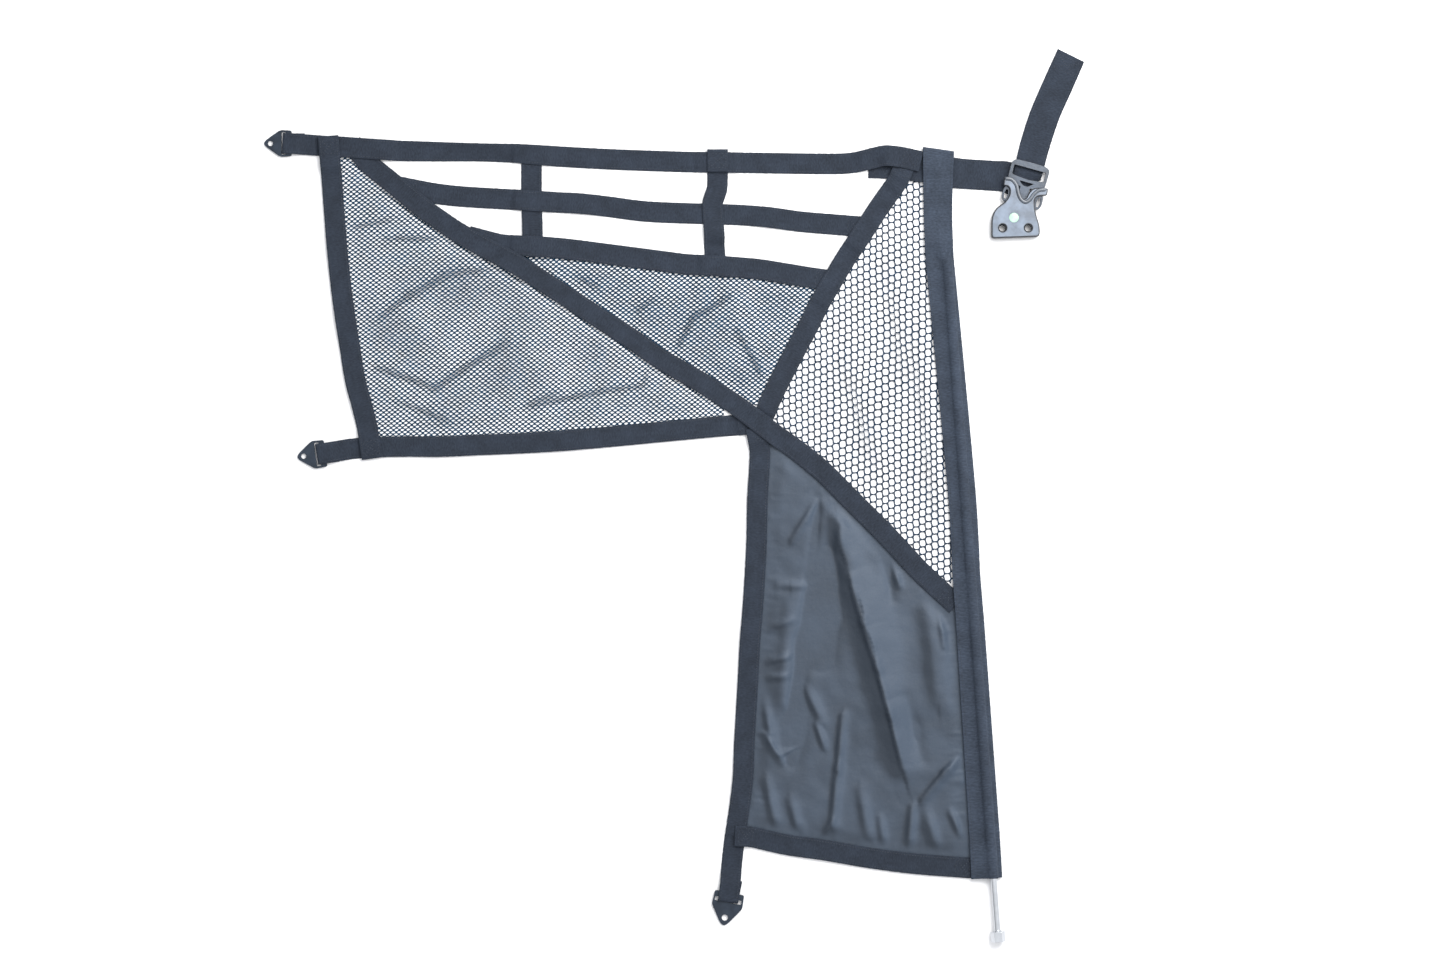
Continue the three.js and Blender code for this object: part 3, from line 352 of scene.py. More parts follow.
@dataclass(frozen=True)
class Metal:
    """Bare or coated steel with faint wear and handling marks."""

    name: str
    colour: tuple[float, float, float]
    roughness: float
    metallic: float
    coat: float = 0.0
    marks: float = 0.5
    variation: float = 0.25
    specular: float = 0.5

    def build(self) -> bpy.types.Material:
        """Make the material."""
        shader = Shader(self.name)
        body = shader.body()
        clouds = shader.noise(body, 90.0, 4.0)
        low, high = tinted(self.colour, 1.0 - self.variation), tinted(self.colour, 1.0 + self.variation)
        shader.set(Base_Color=shader.ramp(clouds, [(0.35, low), (0.7, high)]),
                   Metallic=self.metallic, Coat_Weight=self.coat, Coat_Roughness=0.12,
                   Specular_IOR_Level=self.specular,
                   Roughness=shader.spread(clouds, self.roughness * 0.7, self.roughness * 1.3))
        if self.marks > 0.0:
            shader.bump(shader.noise(body, 500.0, 3.0), 0.1 * MM, self.marks)
        return shader.material


@dataclass(frozen=True)
class Moulding:
    """Moulded plastic with soft clouds in its colour, painted shade on its rim and walls, and a fine uneven
    skin.
    """

    name: str
    colour: tuple[float, float, float]
    roughness: float
    coat: float = 0.3
    # The colour of the shade painted on the rim and walls
    rim: tuple[float, float, float] = (0.030, 0.038, 0.052)
    specular: float = 0.5

    def build(self) -> bpy.types.Material:
        """Make the material."""
        shader = Shader(self.name)
        body = shader.body()
        clouds = shader.noise(body, 65.0, 3.0)
        low, high = tinted(self.colour, 0.72), tinted(self.colour, 1.3)
        face = shader.ramp(clouds, [(0.35, low), (0.5, self.colour), (0.66, high)])
        # Painted shade: the corners marked as rim or wall take the darker colour
        share = shader.ramp(shader.attribute(RIM_SHADE), [(0.25, (0, 0, 0)), (0.75, (1, 1, 1))])
        mixed = shader.mix(share, face, (*self.rim, 1.0))
        shader.set(Base_Color=mixed, Coat_Weight=self.coat, Coat_Roughness=0.12,
                   Specular_IOR_Level=self.specular,
                   Roughness=shader.spread(clouds, self.roughness * 0.8, self.roughness * 1.2))
        shader.bump(shader.noise(body, 260.0, 2.0), 0.15 * MM, 0.5)
        return shader.material


def make_piece(name: str, bm: bmesh.types.BMesh, material: bpy.types.Material, slot: Slot,
               replaced: Sequence[str] = (), smooth: bool = True) -> bpy.types.Object:
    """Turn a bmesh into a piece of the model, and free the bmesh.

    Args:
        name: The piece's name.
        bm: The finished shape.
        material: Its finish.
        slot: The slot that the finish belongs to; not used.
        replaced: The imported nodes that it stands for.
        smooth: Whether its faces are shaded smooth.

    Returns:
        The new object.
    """
    for face in bm.faces:
        face.smooth = smooth
    mesh = bpy.data.meshes.new(name)
    bm.to_mesh(mesh)
    bm.free()
    mesh.materials.append(material)
    piece = bpy.data.objects.new(name, mesh)
    bpy.context.scene.collection.objects.link(piece)
    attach(piece, "root")
    if replaced:
        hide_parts(*replaced)
    return piece


def merged_copy(node: str) -> bmesh.types.BMesh:
    """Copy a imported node's loose triangles into one joined mesh."""
    bm = bmesh.new()
    bm.from_mesh(bpy.data.objects[node].data)
    bmesh.ops.remove_doubles(bm, verts=bm.verts[:], dist=1e-6)
    return bm


def thicken(piece: bpy.types.Object, thickness: float, rim: float = 0.0) -> None:
    """Give a sheet its thickness about its middle surface, with rounded edges.

    Args:
        piece: The open sheet.
        thickness: Its thickness in metres.
        rim: Radius of the rounded edges, or 0 for none.
    """
    solid = piece.modifiers.new("Thickness", "SOLIDIFY")
    solid.thickness = thickness
    solid.offset = 0.0
    if rim > 0.0:
        soften(piece, rim, 2, 60.0)


def soften(piece: bpy.types.Object, width: float, segments: int, angle: float = 35.0) -> None:
    """Round the edges that are sharper than an angle in degrees."""
    bevel = piece.modifiers.new("Edges", "BEVEL")
    bevel.width = width
    bevel.segments = segments
    bevel.limit_method = "ANGLE"
    bevel.angle_limit = math.radians(angle)
    bevel.harden_normals = False


class Spline:
    """A smooth curve through points that doesn't overshoot in height."""

    def __init__(self, points: Sequence[Vector]) -> None:
        """Work out the knots and slopes of the curve through the points."""
        self.points = list(points)
        self.knots = [0.0]
        for a, b in zip(self.points, self.points[1:]):
            self.knots.append(self.knots[-1] + max((b - a).length, 1e-7) ** 0.5)
        self.slopes = [self._slope(i) for i in range(len(self.points))]

    def _chord(self, a: int, b: int) -> Vector:
        """Return the mean derivative from one point to another."""
        return (self.points[b] - self.points[a]) / (self.knots[b] - self.knots[a])

    def _slope(self, i: int) -> Vector:
        """Return the curve's derivative at one of its points."""
        if i == 0:
            return self._chord(0, 1)
        if i == len(self.points) - 1:
            return self._chord(i - 1, i)
        before, after = self._chord(i - 1, i), self._chord(i, i + 1)
        slope = before + after - self._chord(i - 1, i + 1)
        both = before.z * after.z
        slope.z = 2.0 * both / (before.z + after.z) if both > 0.0 else 0.0
        return slope

    def at(self, span: int, share: float) -> Vector:
        """Return the point at a share of one span between two points."""
        width = self.knots[span + 1] - self.knots[span]
        s, s2, s3 = share, share * share, share ** 3
        return (self.points[span] * (2 * s3 - 3 * s2 + 1) + self.slopes[span] * (width * (s3 - 2 * s2 + s))
                + self.points[span + 1] * (3 * s2 - 2 * s3) + self.slopes[span + 1] * (width * (s3 - s2)))


class StrapForm:
    """The middle surface of a strap as it lies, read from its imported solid.

    The solid is a chain of rings with the same number of corners. Half of a ring lies on one face of
    the webbing and half on the other, so each pair of corners gives a point of the middle surface.
    """

    # How high the sleeve's lower end reaches, and the least upward part of a normal that is eased
    END_ZONE = 4.0 * MM
    LEAST_UP_ACROSS = 0.3
    LEAST_UP_ALONG = 0.9

    def __init__(self, node: str, corners: int, columns: int, step: float) -> None:
        """Read a node.

        Args:
            node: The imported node.
            corners: The corners of each ring.
            columns: The cells across the strap.
            step: The longest cell along it, in metres.
        """
        rings = self._aligned(self._rings(node, corners))
        pairs = self._pairs(rings[0])
        lines = [[(ring[i] + ring[j]) / 2 for i, j in pairs] for ring in rings]
        faces = [[(ring[i] - ring[j]).normalized() for i, j in pairs] for ring in rings]
        self.rows: list[list[Vector]] = []
        self.normals: list[list[Vector]] = []
        splines = [Spline(points) for points in zip(*lines)]
        for span in range(len(lines) - 1):
            gap = max((b - a).length for a, b in zip(lines[span], lines[span + 1]))
            count = max(1, math.ceil(gap / step))
            last = 1 if span == len(lines) - 2 else 0
            for k in range(count + last):
                share = k / count
                row = [spline.at(span, share) for spline in splines]
                face = [a.lerp(b, share) for a, b in zip(faces[span], faces[span + 1])]
                self.rows.append(self._across(row, columns))
                self.normals.append(self._across(face, columns))
        if corners > 4:
            self._ease()
        middles = [(row[0] + row[-1]) / 2 for row in self.rows]
        self.along = [0.0]
        for a, b in zip(middles, middles[1:]):
            self.along.append(self.along[-1] + (b - a).length)
        self.length = self.along[-1]
        spans = [sum((b - a).length for a, b in zip(row, row[1:])) for row in self.rows]
        self.width = sum(spans) / len(spans)

    def reach(self, heading: Vector, distance: float, over: float = 9.0 * MM) -> None:
        """Draw the end that lies farthest along a heading out a little.

        Args:
            heading: The unit direction.
            distance: How far the end goes.
            over: The length of the strap that gives way.
        """
        far = max(point.dot(heading) for row in self.rows for point in row)
        for row in self.rows:
            for point in row:
                point += heading * (distance * smoothstep(point.dot(heading), far - over, far - 0.15 * over))

    def _ease(self, passes: int = 60, across: int = 60) -> None:
        """Raise the dips before, after and beside a bulge, so that its slopes are gentle.

        Args:
            passes: How often the heights along the strap are evened out.
            across: How often those across it are.
        """
        for row, face in zip(self.rows, self.normals):
            if min(abs(normal.z) for normal in face) < self.LEAST_UP_ACROSS:
                continue
            level = self._evened([point.z for point in row], [True] * len(row), across)
            for point, z in zip(row, level):
                point.z = z
        for column in range(len(self.rows[0])):
            free = [abs(face[column].z) > self.LEAST_UP_ALONG for face in self.normals]
            level = self._evened([row[column].z for row in self.rows], free, passes)
            for row, z in zip(self.rows, level):
                row[column].z = z

    @staticmethod
    def _evened(packed: list[float], free: list[bool], rounds: int) -> list[float]:
        """Even out a line of heights, of which none sinks.

        Args:
            packed: The heights as they are.
            free: Whether each height may rise.
            rounds: How often they are evened out.

        Returns:
            The new heights.
        """
        level = list(packed)
        for _ in range(rounds):
            eased = [(a + 2.0 * b + c) / 4.0 for a, b, c in zip(level, level[1:], level[2:])]
            level[1:-1] = [max(new, low) if rises else old
                           for new, low, rises, old in zip(eased, packed[1:], free[1:], level[1:])]
        return level

    @staticmethod
    def _rings(node: str, corners: int) -> list[list[Vector]]:
        """Walk the solid from one end to the other, a ring at a time."""
        bm = merged_copy(node)
        low = min(v.co.y for v in bm.verts)
        if corners == 4:
            ends = {v for v in bm.verts if len(v.link_edges) < 6}
        else:
            ends = {v for v in bm.verts if v.co.y < low + StrapForm.END_ZONE}
        first = min(ends, key=lambda v: (round(v.co.z, 6), StrapForm._spot(v)))
        layer = StrapForm._joined(first, ends)
        seen, rings = set(layer), []
        while layer:
            rings.append(StrapForm._ordered(layer))
            layer = {e.other_vert(v) for v in layer for e in v.link_edges} - seen
            seen |= layer
        assert all(len(ring) == corners for ring in rings), node
        bm.free()
        return rings

    @staticmethod
    def _spot(vert: bmesh.types.BMVert) -> tuple[float, ...]:
        """Return a corner's place, to the thousandth of a millimetre."""
        return tuple(round(part, 6) for part in vert.co)

    @staticmethod
    def _joined(first: bmesh.types.BMVert, among: set[bmesh.types.BMVert]) -> set[bmesh.types.BMVert]:
        """Return the corners that are joined to the first without leaving a set."""
        found, queue = {first}, [first]
        while queue:
            vert = queue.pop()
            for edge in vert.link_edges:
                other = edge.other_vert(vert)
                if other in among and other not in found:
                    found.add(other)
                    queue.append(other)
        return found

    @staticmethod
    def _beside(vert: bmesh.types.BMVert, layer: set[bmesh.types.BMVert]) -> Iterator[bmesh.types.BMVert]:
        """Yield the corners of a ring that are next to one of them along its outside."""
        for edge in vert.link_edges:
            leaves = any(v not in layer for face in edge.link_faces for v in face.verts)
            if leaves and edge.other_vert(vert) in layer:
                yield edge.other_vert(vert)

    @staticmethod
    def _ordered(layer: set[bmesh.types.BMVert]) -> list[Vector]:
        """Return a ring's corners in order around it."""
        order = [min(layer, key=StrapForm._spot)]
        while len(order) < len(layer):
            following = [v for v in StrapForm._beside(order[-1], layer) if v not in order]
            order.append(min(following, key=StrapForm._spot))
        return [v.co.copy() for v in order]

    @staticmethod
    def _aligned(rings: list[list[Vector]]) -> list[list[Vector]]:
        """Turn each ring's order so that its corners follow those of the ring before it."""
        aligned = [rings[0]]
        for ring in rings[1:]:
            turns = [order[k:] + order[:k] for order in (ring, ring[::-1]) for k in range(len(ring))]
            last = aligned[-1]
            aligned.append(min(turns, key=lambda turn: sum((a - b).length for a, b in zip(turn, last))))
        return aligned

    @staticmethod
    def _pairs(ring: list[Vector]) -> list[tuple[int, int]]:
        """Pair each corner of one face with the corner behind it on the other."""
        count = len(ring)
        choices = [[((k + j) % count, (k - 1 - j) % count) for j in range(count // 2)] for k in range(count)]
        return min(choices, key=lambda pairs: sum((ring[i] - ring[j]).length for i, j in pairs))

    @staticmethod
    def _across(line: Sequence[Vector], columns: int) -> list[Vector]:
        """Divide a line from edge to edge into even cells."""
        if len(line) == 2:
            return [line[0].lerp(line[1], k / columns) for k in range(columns + 1)]
        spline = Spline(line)
        reach = [0.0]
        for a, b in zip(line, line[1:]):
            reach.append(reach[-1] + (b - a).length)
        points = []
        for k in range(columns + 1):
            place = reach[-1] * k / columns
            span = min(max(bisect_right(reach, place) - 1, 0), len(line) - 2)
            points.append(spline.at(span, (place - reach[span]) / max(reach[span + 1] - reach[span], 1e-9)))
        return points

    def frame_at(self, across: float, along: float) -> tuple[Vector, Vector, Vector]:
        """Find a place on the strap.

        Args:
            across: From 0 at one edge to 1 at the other.
            along: Metres from the strap's start.

        Returns:
            The point, the direction along the strap and the face's normal.
        """
        row = min(max(bisect_right(self.along, along) - 1, 0), len(self.rows) - 2)
        share = (along - self.along[row]) / max(self.along[row + 1] - self.along[row], 1e-9)
        column = min(int(across * (len(self.rows[0]) - 1)), len(self.rows[0]) - 2)
        part = across * (len(self.rows[0]) - 1) - column
        start, end = (points[column].lerp(points[column + 1], part) for points in self.rows[row:row + 2])
        before, after = (faces[column].lerp(faces[column + 1], part) for faces in self.normals[row:row + 2])
        normal = before.lerp(after, share).normalized()
        return start.lerp(end, share), (end - start).normalized(), normal


@dataclass
class Strap:
    """One length of webbing with its seams: a row along each selvedge and a crossed box at each end."""

    node: str
    finish: bpy.types.Material
    thread: bpy.types.Material
    corners: int = 4
    columns: int = 10
    step: float = 3.0 * MM
    thickness: float = WEBBING_THICKNESS
    fray: float = 0.35 * MM
    ripple: float = 0.16 * MM
    fray_waves: float = 260.0
    ripple_waves: float = 45.0
    seam_inset: float = 2.6 * MM
    seam_start: float = 5.0 * MM
    seam_box: float = 17.0 * MM
    stitch: float = 3.4 * MM
    rests_on: tuple[str, ...] = ()
    loop: tuple[float, float] = (0.0, 0.0)
    form: StrapForm = field(init=False)

    def build(self) -> bpy.types.Object:
        self.form = StrapForm(self.node, self.corners, self.columns, self.step)
        if any(self.loop):
            drawn = Vector((*self.loop, 0.0)) * MM
            self.form.reach(drawn.normalized(), drawn.length)
        piece = self._webbing()
        stitching = self._stitching()
        list(self.rests_on)
        LOG.info("%s: %.0f by %.0f mm", piece.name, self.form.width / MM, self.form.length / MM)
        return piece

    def _webbing(self) -> bpy.types.Object:
        """Map a grid onto the strap's form, with a slightly uneven selvedge."""
        bm = bmesh.new()
        layer = bm.loops.layers.uv.new("UVMap")
        rows, columns = len(self.form.rows) - 1, self.columns
        bmesh.ops.create_grid(bm, x_segments=columns, y_segments=rows, size=0.5)
        seed = Vector((len(self.node) * 3.7, 0.0, 0.0))
        cells = {}
        for vert in bm.verts:
            column, row = round((vert.co.x + 0.5) * columns), round((vert.co.y + 0.5) * rows)
            cells[vert] = (column, row)
            here, normal = self.form.rows[row][column], self.form.normals[row][column]
            edge = 2.0 * column / columns - 1.0
            outwards = (self.form.rows[row][-1] - self.form.rows[row][0]).normalized()
            outwards *= math.copysign(1.0, edge)
            along = self.form.along[row]
            wave = noise.noise(Vector((along * self.fray_waves, edge * 4.0, 0.0)) + seed)
            lift = noise.noise(Vector((along * self.ripple_waves, edge * 1.3, 5.0)) + seed)
            vert.co = here + outwards * (self.fray * wave * edge ** 6) + normal * (self.ripple * lift)
        for face in bm.faces:
            for loop in face.loops:
                column, row = cells[loop.vert]
                loop[layer].uv = (self.form.width * column / columns, self.form.along[row])
        self._face_up(bm)
        piece = make_piece(self.node + "_webbing", bm, self.finish, Slot.WEBBING, [self.node])
        thicken(piece, self.thickness, 0.4 * MM)
        return piece

    @staticmethod
    def _face_up(bm: bmesh.types.BMesh) -> None:
        """Turn the sheet's faces to the side that is mostly up."""
        bm.normal_update()
        if sum(face.normal.z * face.calc_area() for face in bm.faces) < 0.0:
            bmesh.ops.reverse_faces(bm, faces=bm.faces[:])

    def _seam_path(self) -> Iterator[tuple[float, float, float]]:
        """Yield each stitch's place across and along the strap and its turn from the strap's direction."""
        inset = self.seam_inset / self.form.width
        box = self.seam_box
        count = int((self.form.length - 2.0 * self.seam_start) / self.stitch)
        for side in (inset, 1.0 - inset):
            for k in range(count + 1):
                yield side, self.seam_start + k * self.stitch, 0.0
        across = int(self.form.width * (1.0 - 2.0 * inset) / self.stitch)
        for start in (self.seam_start, self.form.length - self.seam_start - box):
            for along in (start, start + box):
                for k in range(1, across):
                    yield inset + (1.0 - 2.0 * inset) * k / across, along, math.pi / 2
            slant = math.atan2(self.form.width - 2.0 * self.seam_inset, box)
            steps = int(math.hypot(box, self.form.width) / self.stitch)
            for k in range(1, steps):
                share = k / steps
                yield inset + (1.0 - 2.0 * inset) * share, start + box * share, slant
                yield inset + (1.0 - 2.0 * inset) * share, start + box * (1.0 - share), -slant

    def _stitching(self) -> bpy.types.Object:
        """Set a short raised stitch at each place of the seams, on the side that faces up."""
        places = []
        for across, along, turn in self._seam_path():
            point, direction, normal = self.form.frame_at(across, along)
            if abs(normal.z) < 0.5:
                continue
            normal = normal if normal.z > 0.0 else -normal
            heading = Matrix.Rotation(turn, 3, normal) @ direction
            side = normal.cross(heading).normalized()
            spot = point + normal * (self.thickness / 2 + 0.05 * MM)
            places.append(Matrix.Translation(spot) @ Matrix((heading, side, normal)).transposed().to_4x4())
        bm = scattered(stitch_form(), places)
        return make_piece(self.node + "_stitching", bm, self.thread, Slot.WEBBING)


def stitch_form(length: float = 2.5 * MM, radius: float = 0.33 * MM) -> bpy.types.Mesh:
    """Make one plump stitch that lies along X."""
    bm = bmesh.new()
    bmesh.ops.create_uvsphere(bm, u_segments=6, v_segments=4, radius=1.0)
    bmesh.ops.scale(bm, vec=(length / 2, radius, radius * 0.8), verts=bm.verts[:])
    mesh = bpy.data.meshes.new("stitch")
    bm.to_mesh(mesh)
    bm.free()
    return mesh


def scattered(form: bpy.types.Mesh, places: Sequence[Matrix]) -> bmesh.types.BMesh:
    """Join copies of a small form, one at each place, and drop the form."""
    bm = bmesh.new()
    for place in places:
        copy = form.copy()
        copy.transform(place)
        bm.from_mesh(copy)
        bpy.data.meshes.remove(copy)
    bpy.data.meshes.remove(form)
    return bm


class Outline:
    """The edge of a packed sheet, with quick distances to it."""

    # The most that a wall's normal points up, and the area in square metres of a face that is none
    STEEP = 0.35
    SLIVER = 1e-8

    def __init__(self, node: str, spacing: float = 2.0 * MM) -> None:
        """Read a sheet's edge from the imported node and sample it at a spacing."""
        corners = self._longest_loop(node)
        turning = sum(a.x * b.y - b.x * a.y for a, b in zip(corners, corners[1:] + corners[:1]))
        self.corners = corners if turning > 0.0 else corners[::-1]
        self.area = abs(turning) / 2
        self.samples: list[Vector] = []
        self.inwards: list[Vector] = []
        sides = list(zip(self.corners, self.corners[1:] + self.corners[:1]))
        normals = [Vector((a.y - b.y, b.x - a.x, 0.0)).normalized() for a, b in sides]
        for i, (a, b) in enumerate(sides):
            self.samples.append(a)
            self.inwards.append((normals[i - 1] + normals[i]).normalized())
            count = max(1, math.ceil((b - a).length / spacing))
            for k in range(1, count):
                self.samples.append(a.lerp(b, k / count))
                self.inwards.append(normals[i])
        self.tree = kdtree.KDTree(len(self.samples))
        for i, sample in enumerate(self.samples):
            self.tree.insert(sample, i)
        self.tree.balance()

    @staticmethod
    def _longest_loop(node: str) -> list[Vector]:
        """Chain the lower edges of the sheet's walls and keep the longest ring."""
        bm = merged_copy(node)
        bmesh.ops.dissolve_degenerate(bm, dist=0.01 * MM, edges=bm.edges[:])
        bm.normal_update()
        links: dict[bmesh.types.BMVert, list[bmesh.types.BMVert]] = {}
        for edge in bm.edges:
            walls = [face for face in edge.link_faces
                     if abs(face.normal.z) < Outline.STEEP and face.calc_area() > Outline.SLIVER]
            under = [face for face in edge.link_faces if face.normal.z < -Outline.STEEP]
            if len(walls) == 1 and len(under) == 1:
                a, b = edge.verts
                links.setdefault(a, []).append(b)
                links.setdefault(b, []).append(a)
        best: list[Vector] = []
        reach, seen = 0.0, set()
        for first in list(links):
            if first in seen:
                continue
            chain = [first]
            seen.add(first)
            while True:
                following = [v for v in links[chain[-1]] if v not in seen]
                if not following:
                    break
                chain.append(following[0])
                seen.add(following[0])
            points = [Vector((v.co.x, v.co.y, 0.0)) for v in chain]
            length = sum((b - a).length for a, b in zip(points, points[1:]))
            if length > reach:
                best, reach = points, length
        bm.free()
        return best

    def near(self, x: float, y: float) -> tuple[float, Vector]:
        """Measure a place against the edge.

        Args:
            x: The place's first coordinate.
            y: Its second coordinate.

        Returns:
            The distance inwards from the edge, negative outside, and the nearest place on the edge.
        """
        place = Vector((x, y, 0.0))
        point, index, reach = self.tree.find(place)
        sign = 1.0 if (place - point).dot(self.inwards[index]) >= 0.0 else -1.0
        return sign * reach, point

    def box(self) -> tuple[Vector, Vector]:
        """Return the lowest and highest corner of the outline."""
        xs, ys = [p.x for p in self.corners], [p.y for p in self.corners]
        return Vector((min(xs), min(ys), 0.0)), Vector((max(xs), max(ys), 0.0))


@dataclass
class Fold:
    """A ridge of cloth from one pixel of the photograph to another, or a trough if it is negative.

    Its width and height are in millimetres. Its lean is the share by which its left side is wider.
    """

    x1: float
    y1: float
    x2: float
    y2: float
    width: float
    height: float
    lean: float = 0.0
    start: Vector = field(init=False)
    run: Vector = field(init=False)

    def __post_init__(self) -> None:
        """Work out where the fold starts on the floor and how it runs."""
        self.start = on_floor(self.x1, self.y1)
        self.run = on_floor(self.x2, self.y2) - self.start

    def _off(self, place: Vector) -> tuple[float, Vector]:
        """Return the share along the fold that is nearest to a place, and the way from there to it."""
        share = min(max((place - self.start).dot(self.run) / self.run.length_squared, 0.0), 1.0)
        return share, place - self.start - self.run * share

    def lift(self, place: Vector) -> float:
        """Return how far the fold lifts the cloth at a place."""
        share, off = self._off(place)
        side = math.copysign(1.0, self.run.x * off.y - self.run.y * off.x)
        q = off.length / (self.width * MM * (1.0 + side * self.lean))
        if q > 3.0:
            return 0.0
        ends = 0.55 + 0.45 * math.sin(math.pi * share)
        return self.height * MM * ends * math.exp(-q * q)

    def pull(self, place: Vector) -> Vector:
        """Return the way to the fold at a place, smaller far from it and at its ends."""
        share, off = self._off(place)
        q = off.length / (2.0 * self.width * MM)
        if q > 2.5:
            return Vector()
        return off * (-math.sin(math.pi * share) * math.exp(-q * q))


def folds(rows: Sequence[Sequence[float]]) -> list[Fold]:
    """Turn rows of a table into folds."""
    return [Fold(*row) for row in rows]


@dataclass
class Relief:
    """The height of a sheet's middle surface over the floor.

    Folds and billows fade in at some distance from the edge, and puckers gather in a band beside it.
    """

    outline: Outline
    folds: list[Fold]
    base: float
    billow: float
    pucker: float
    fade: tuple[float, float]
    band_rise: tuple[float, float] = (12.5 * MM, 16.0 * MM)
    band_fall: tuple[float, float] = (19.0 * MM, 42.0 * MM)
    billow_waves: tuple[float, float] = (17.0, 55.0)
    pucker_waves: tuple[float, float] = (31.0, 125.0)

    def at(self, x: float, y: float) -> float:
        """Return the height at one place."""
        inset, edge = self.outline.near(x, y)
        place = Vector((x, y, 0.0))
        raised = sum(fold.lift(place) for fold in self.folds)
        broad, fine = (noise.noise(place * waves) for waves in self.billow_waves)
        wide = self.billow * (0.5 + broad + 0.35 * fine)
        level = smoothstep(inset, *self.fade) * (raised + wide)
        groups, ripples = self.pucker_waves
        here = noise.noise(edge * groups) + 0.35
        ripple = max(0.0, noise.noise(edge * ripples + Vector((3.0, 1.0, 8.0))))
        gather = 2.0 * self.pucker * ripple * max(0.0, here)
        band = smoothstep(inset, *self.band_rise) * (1.0 - smoothstep(inset, *self.band_fall))
        return self.base + max(0.0, level) + gather * band


@dataclass
class Net:
    """A net of six-sided cells. Each has its own hole, as given or else with rounded corners.

    The net reaches past its packed sheet by an allowance, which lies under the straps.
    """

    node: str
    finish: bpy.types.Material
    slot: Slot
    first: tuple[float, float]
    second: tuple[float, float]
    shift: tuple[float, float]
    strand: float
    thickness: float
    relief: list[Fold]
    hole: tuple[tuple[float, float], ...] = ()
    rounding: float = 0.36
    cover: float = 1.0
    sway: float = 0.3 * MM
    sway_waves: tuple[float, float] = (28.0, 210.0)
    gather: float = 0.45
    allowance: float = 6.0 * MM
    billow: float = 0.7 * MM
    fade: tuple[float, float] = (13.0 * MM, 30.0 * MM)
    rests_on: tuple[str, ...] = ()

    def build(self) -> bpy.types.Object:
        """Make the net."""
        outline = Outline(self.node)
        bm = self._cell()
        self._repeat(bm, outline)
        far = [f for f in bm.faces if outline.near(*f.calc_center_median().xy)[0] < -self.allowance]
        bmesh.ops.delete(bm, geom=far, context="FACES")
        bmesh.ops.remove_doubles(bm, verts=bm.verts[:], dist=0.02 * MM)
        relief = Relief(outline, self.relief, self.thickness / 2, self.billow, 0.0, self.fade)
        broad, fine = self.sway_waves
        for vert in bm.verts:
            here = Vector((vert.co.x, vert.co.y, 0.0))
            drift = noise.noise_vector(here * broad) * self.sway * 3.0
            drift += noise.noise_vector(here * fine) * self.sway
            for fold in self.relief:
                drift += fold.pull(here) * self.gather
            vert.co = Vector((here.x + drift.x, here.y + drift.y, relief.at(*here.xy)))
        piece = make_piece(self.node + "_mesh", bm, self.finish, self.slot, [self.node])
        thicken(piece, self.thickness)
        low, high = outline.box()
        list(self.rests_on)
        LOG.info("%s: %d faces before its thickness", piece.name, len(piece.data.polygons))
        return piece

    def _cell(self) -> bmesh.types.BMesh:
        """Make one cell: a ring of faces around its hole."""
        a, b = Vector(self.first) * MM, Vector(self.second) * MM
        shift = Vector(self.shift) * MM
        corners = [(a + b) / 3 + shift, (2 * a - b) / 3 - shift, (a - 2 * b) / 3 + shift]
        corners += [-corner for corner in corners]
        if not self.hole:
            turned = corners[1:] + corners[:1]
            corners = [point for pair in zip(corners, turned) for point in (pair[0], (pair[0] + pair[1]) / 2)]
        bm = bmesh.new()
        ring = bmesh.ops.create_circle(bm, segments=len(corners), radius=MM, cap_ends=True)["verts"]
        ring = sorted(ring, key=lambda v: math.atan2(v.co.y, v.co.x) % math.tau)
        for vert, corner in zip(ring, corners):
            vert.co = Vector((corner.x, corner.y, 0.0))
        bm.normal_update()
        bmesh.ops.inset_individual(bm, faces=bm.faces[:], thickness=self.strand, use_even_offset=True)
        inner = min(bm.faces, key=lambda f: f.calc_center_median().length)
        within = set(inner.verts)
        partners = [next(e.other_vert(v) for e in v.link_edges if e.other_vert(v) in within) for v in ring]
        for partner, corner in zip(partners, self.hole):
            partner.co = Vector((corner[0], corner[1], 0.0)) * MM
        if not self.hole:
            for i in range(0, len(partners), 2):
                chord = (partners[i - 1].co + partners[(i + 1) % len(partners)].co) / 2
                partners[i].co = partners[i].co.lerp(chord, self.rounding)
        bmesh.ops.delete(bm, geom=[inner], context="FACES_ONLY")
        if sum(face.normal.z for face in bm.faces) < 0.0:
            bmesh.ops.reverse_faces(bm, faces=bm.faces[:])
        return bm

    def _repeat(self, bm: bmesh.types.BMesh, outline: Outline) -> None:
        """Lay the cells over the outline's box, in rows and then in lines."""
        a, b = Vector((*self.first, 0.0)) * MM, Vector((*self.second, 0.0)) * MM
        across, upwards = a + b, a - b
        low, high = outline.box()
        margin = Vector((self.allowance, self.allowance, 0.0))
        low, high = low - margin, high + margin
        lean = abs(across.y / across.x) * (high.x - low.x)
        columns = math.ceil((high.x - low.x) / across.x) + 1
        lines = math.ceil((high.y - low.y + lean) / upwards.y) + 2
        middle = (low + high) / 2
        start = middle - across * (columns / 2) - upwards * (lines / 2)
        self._array(bm, a, 1)
        self._array(bm, across, columns)
        self._array(bm, upwards, lines)
        bmesh.ops.translate(bm, vec=start, verts=bm.verts[:])

    @staticmethod
    def _array(bm: bmesh.types.BMesh, step: Vector, times: int) -> None:
        """Repeat the whole shape along a step."""
        geometry = bm.verts[:] + bm.edges[:] + bm.faces[:]
        bmesh.ops.spin(bm, geom=geometry, cent=(0.0, 0.0, 0.0), axis=UP, dvec=step, angle=0.0, steps=times,
                       use_duplicate=True, use_merge=False)


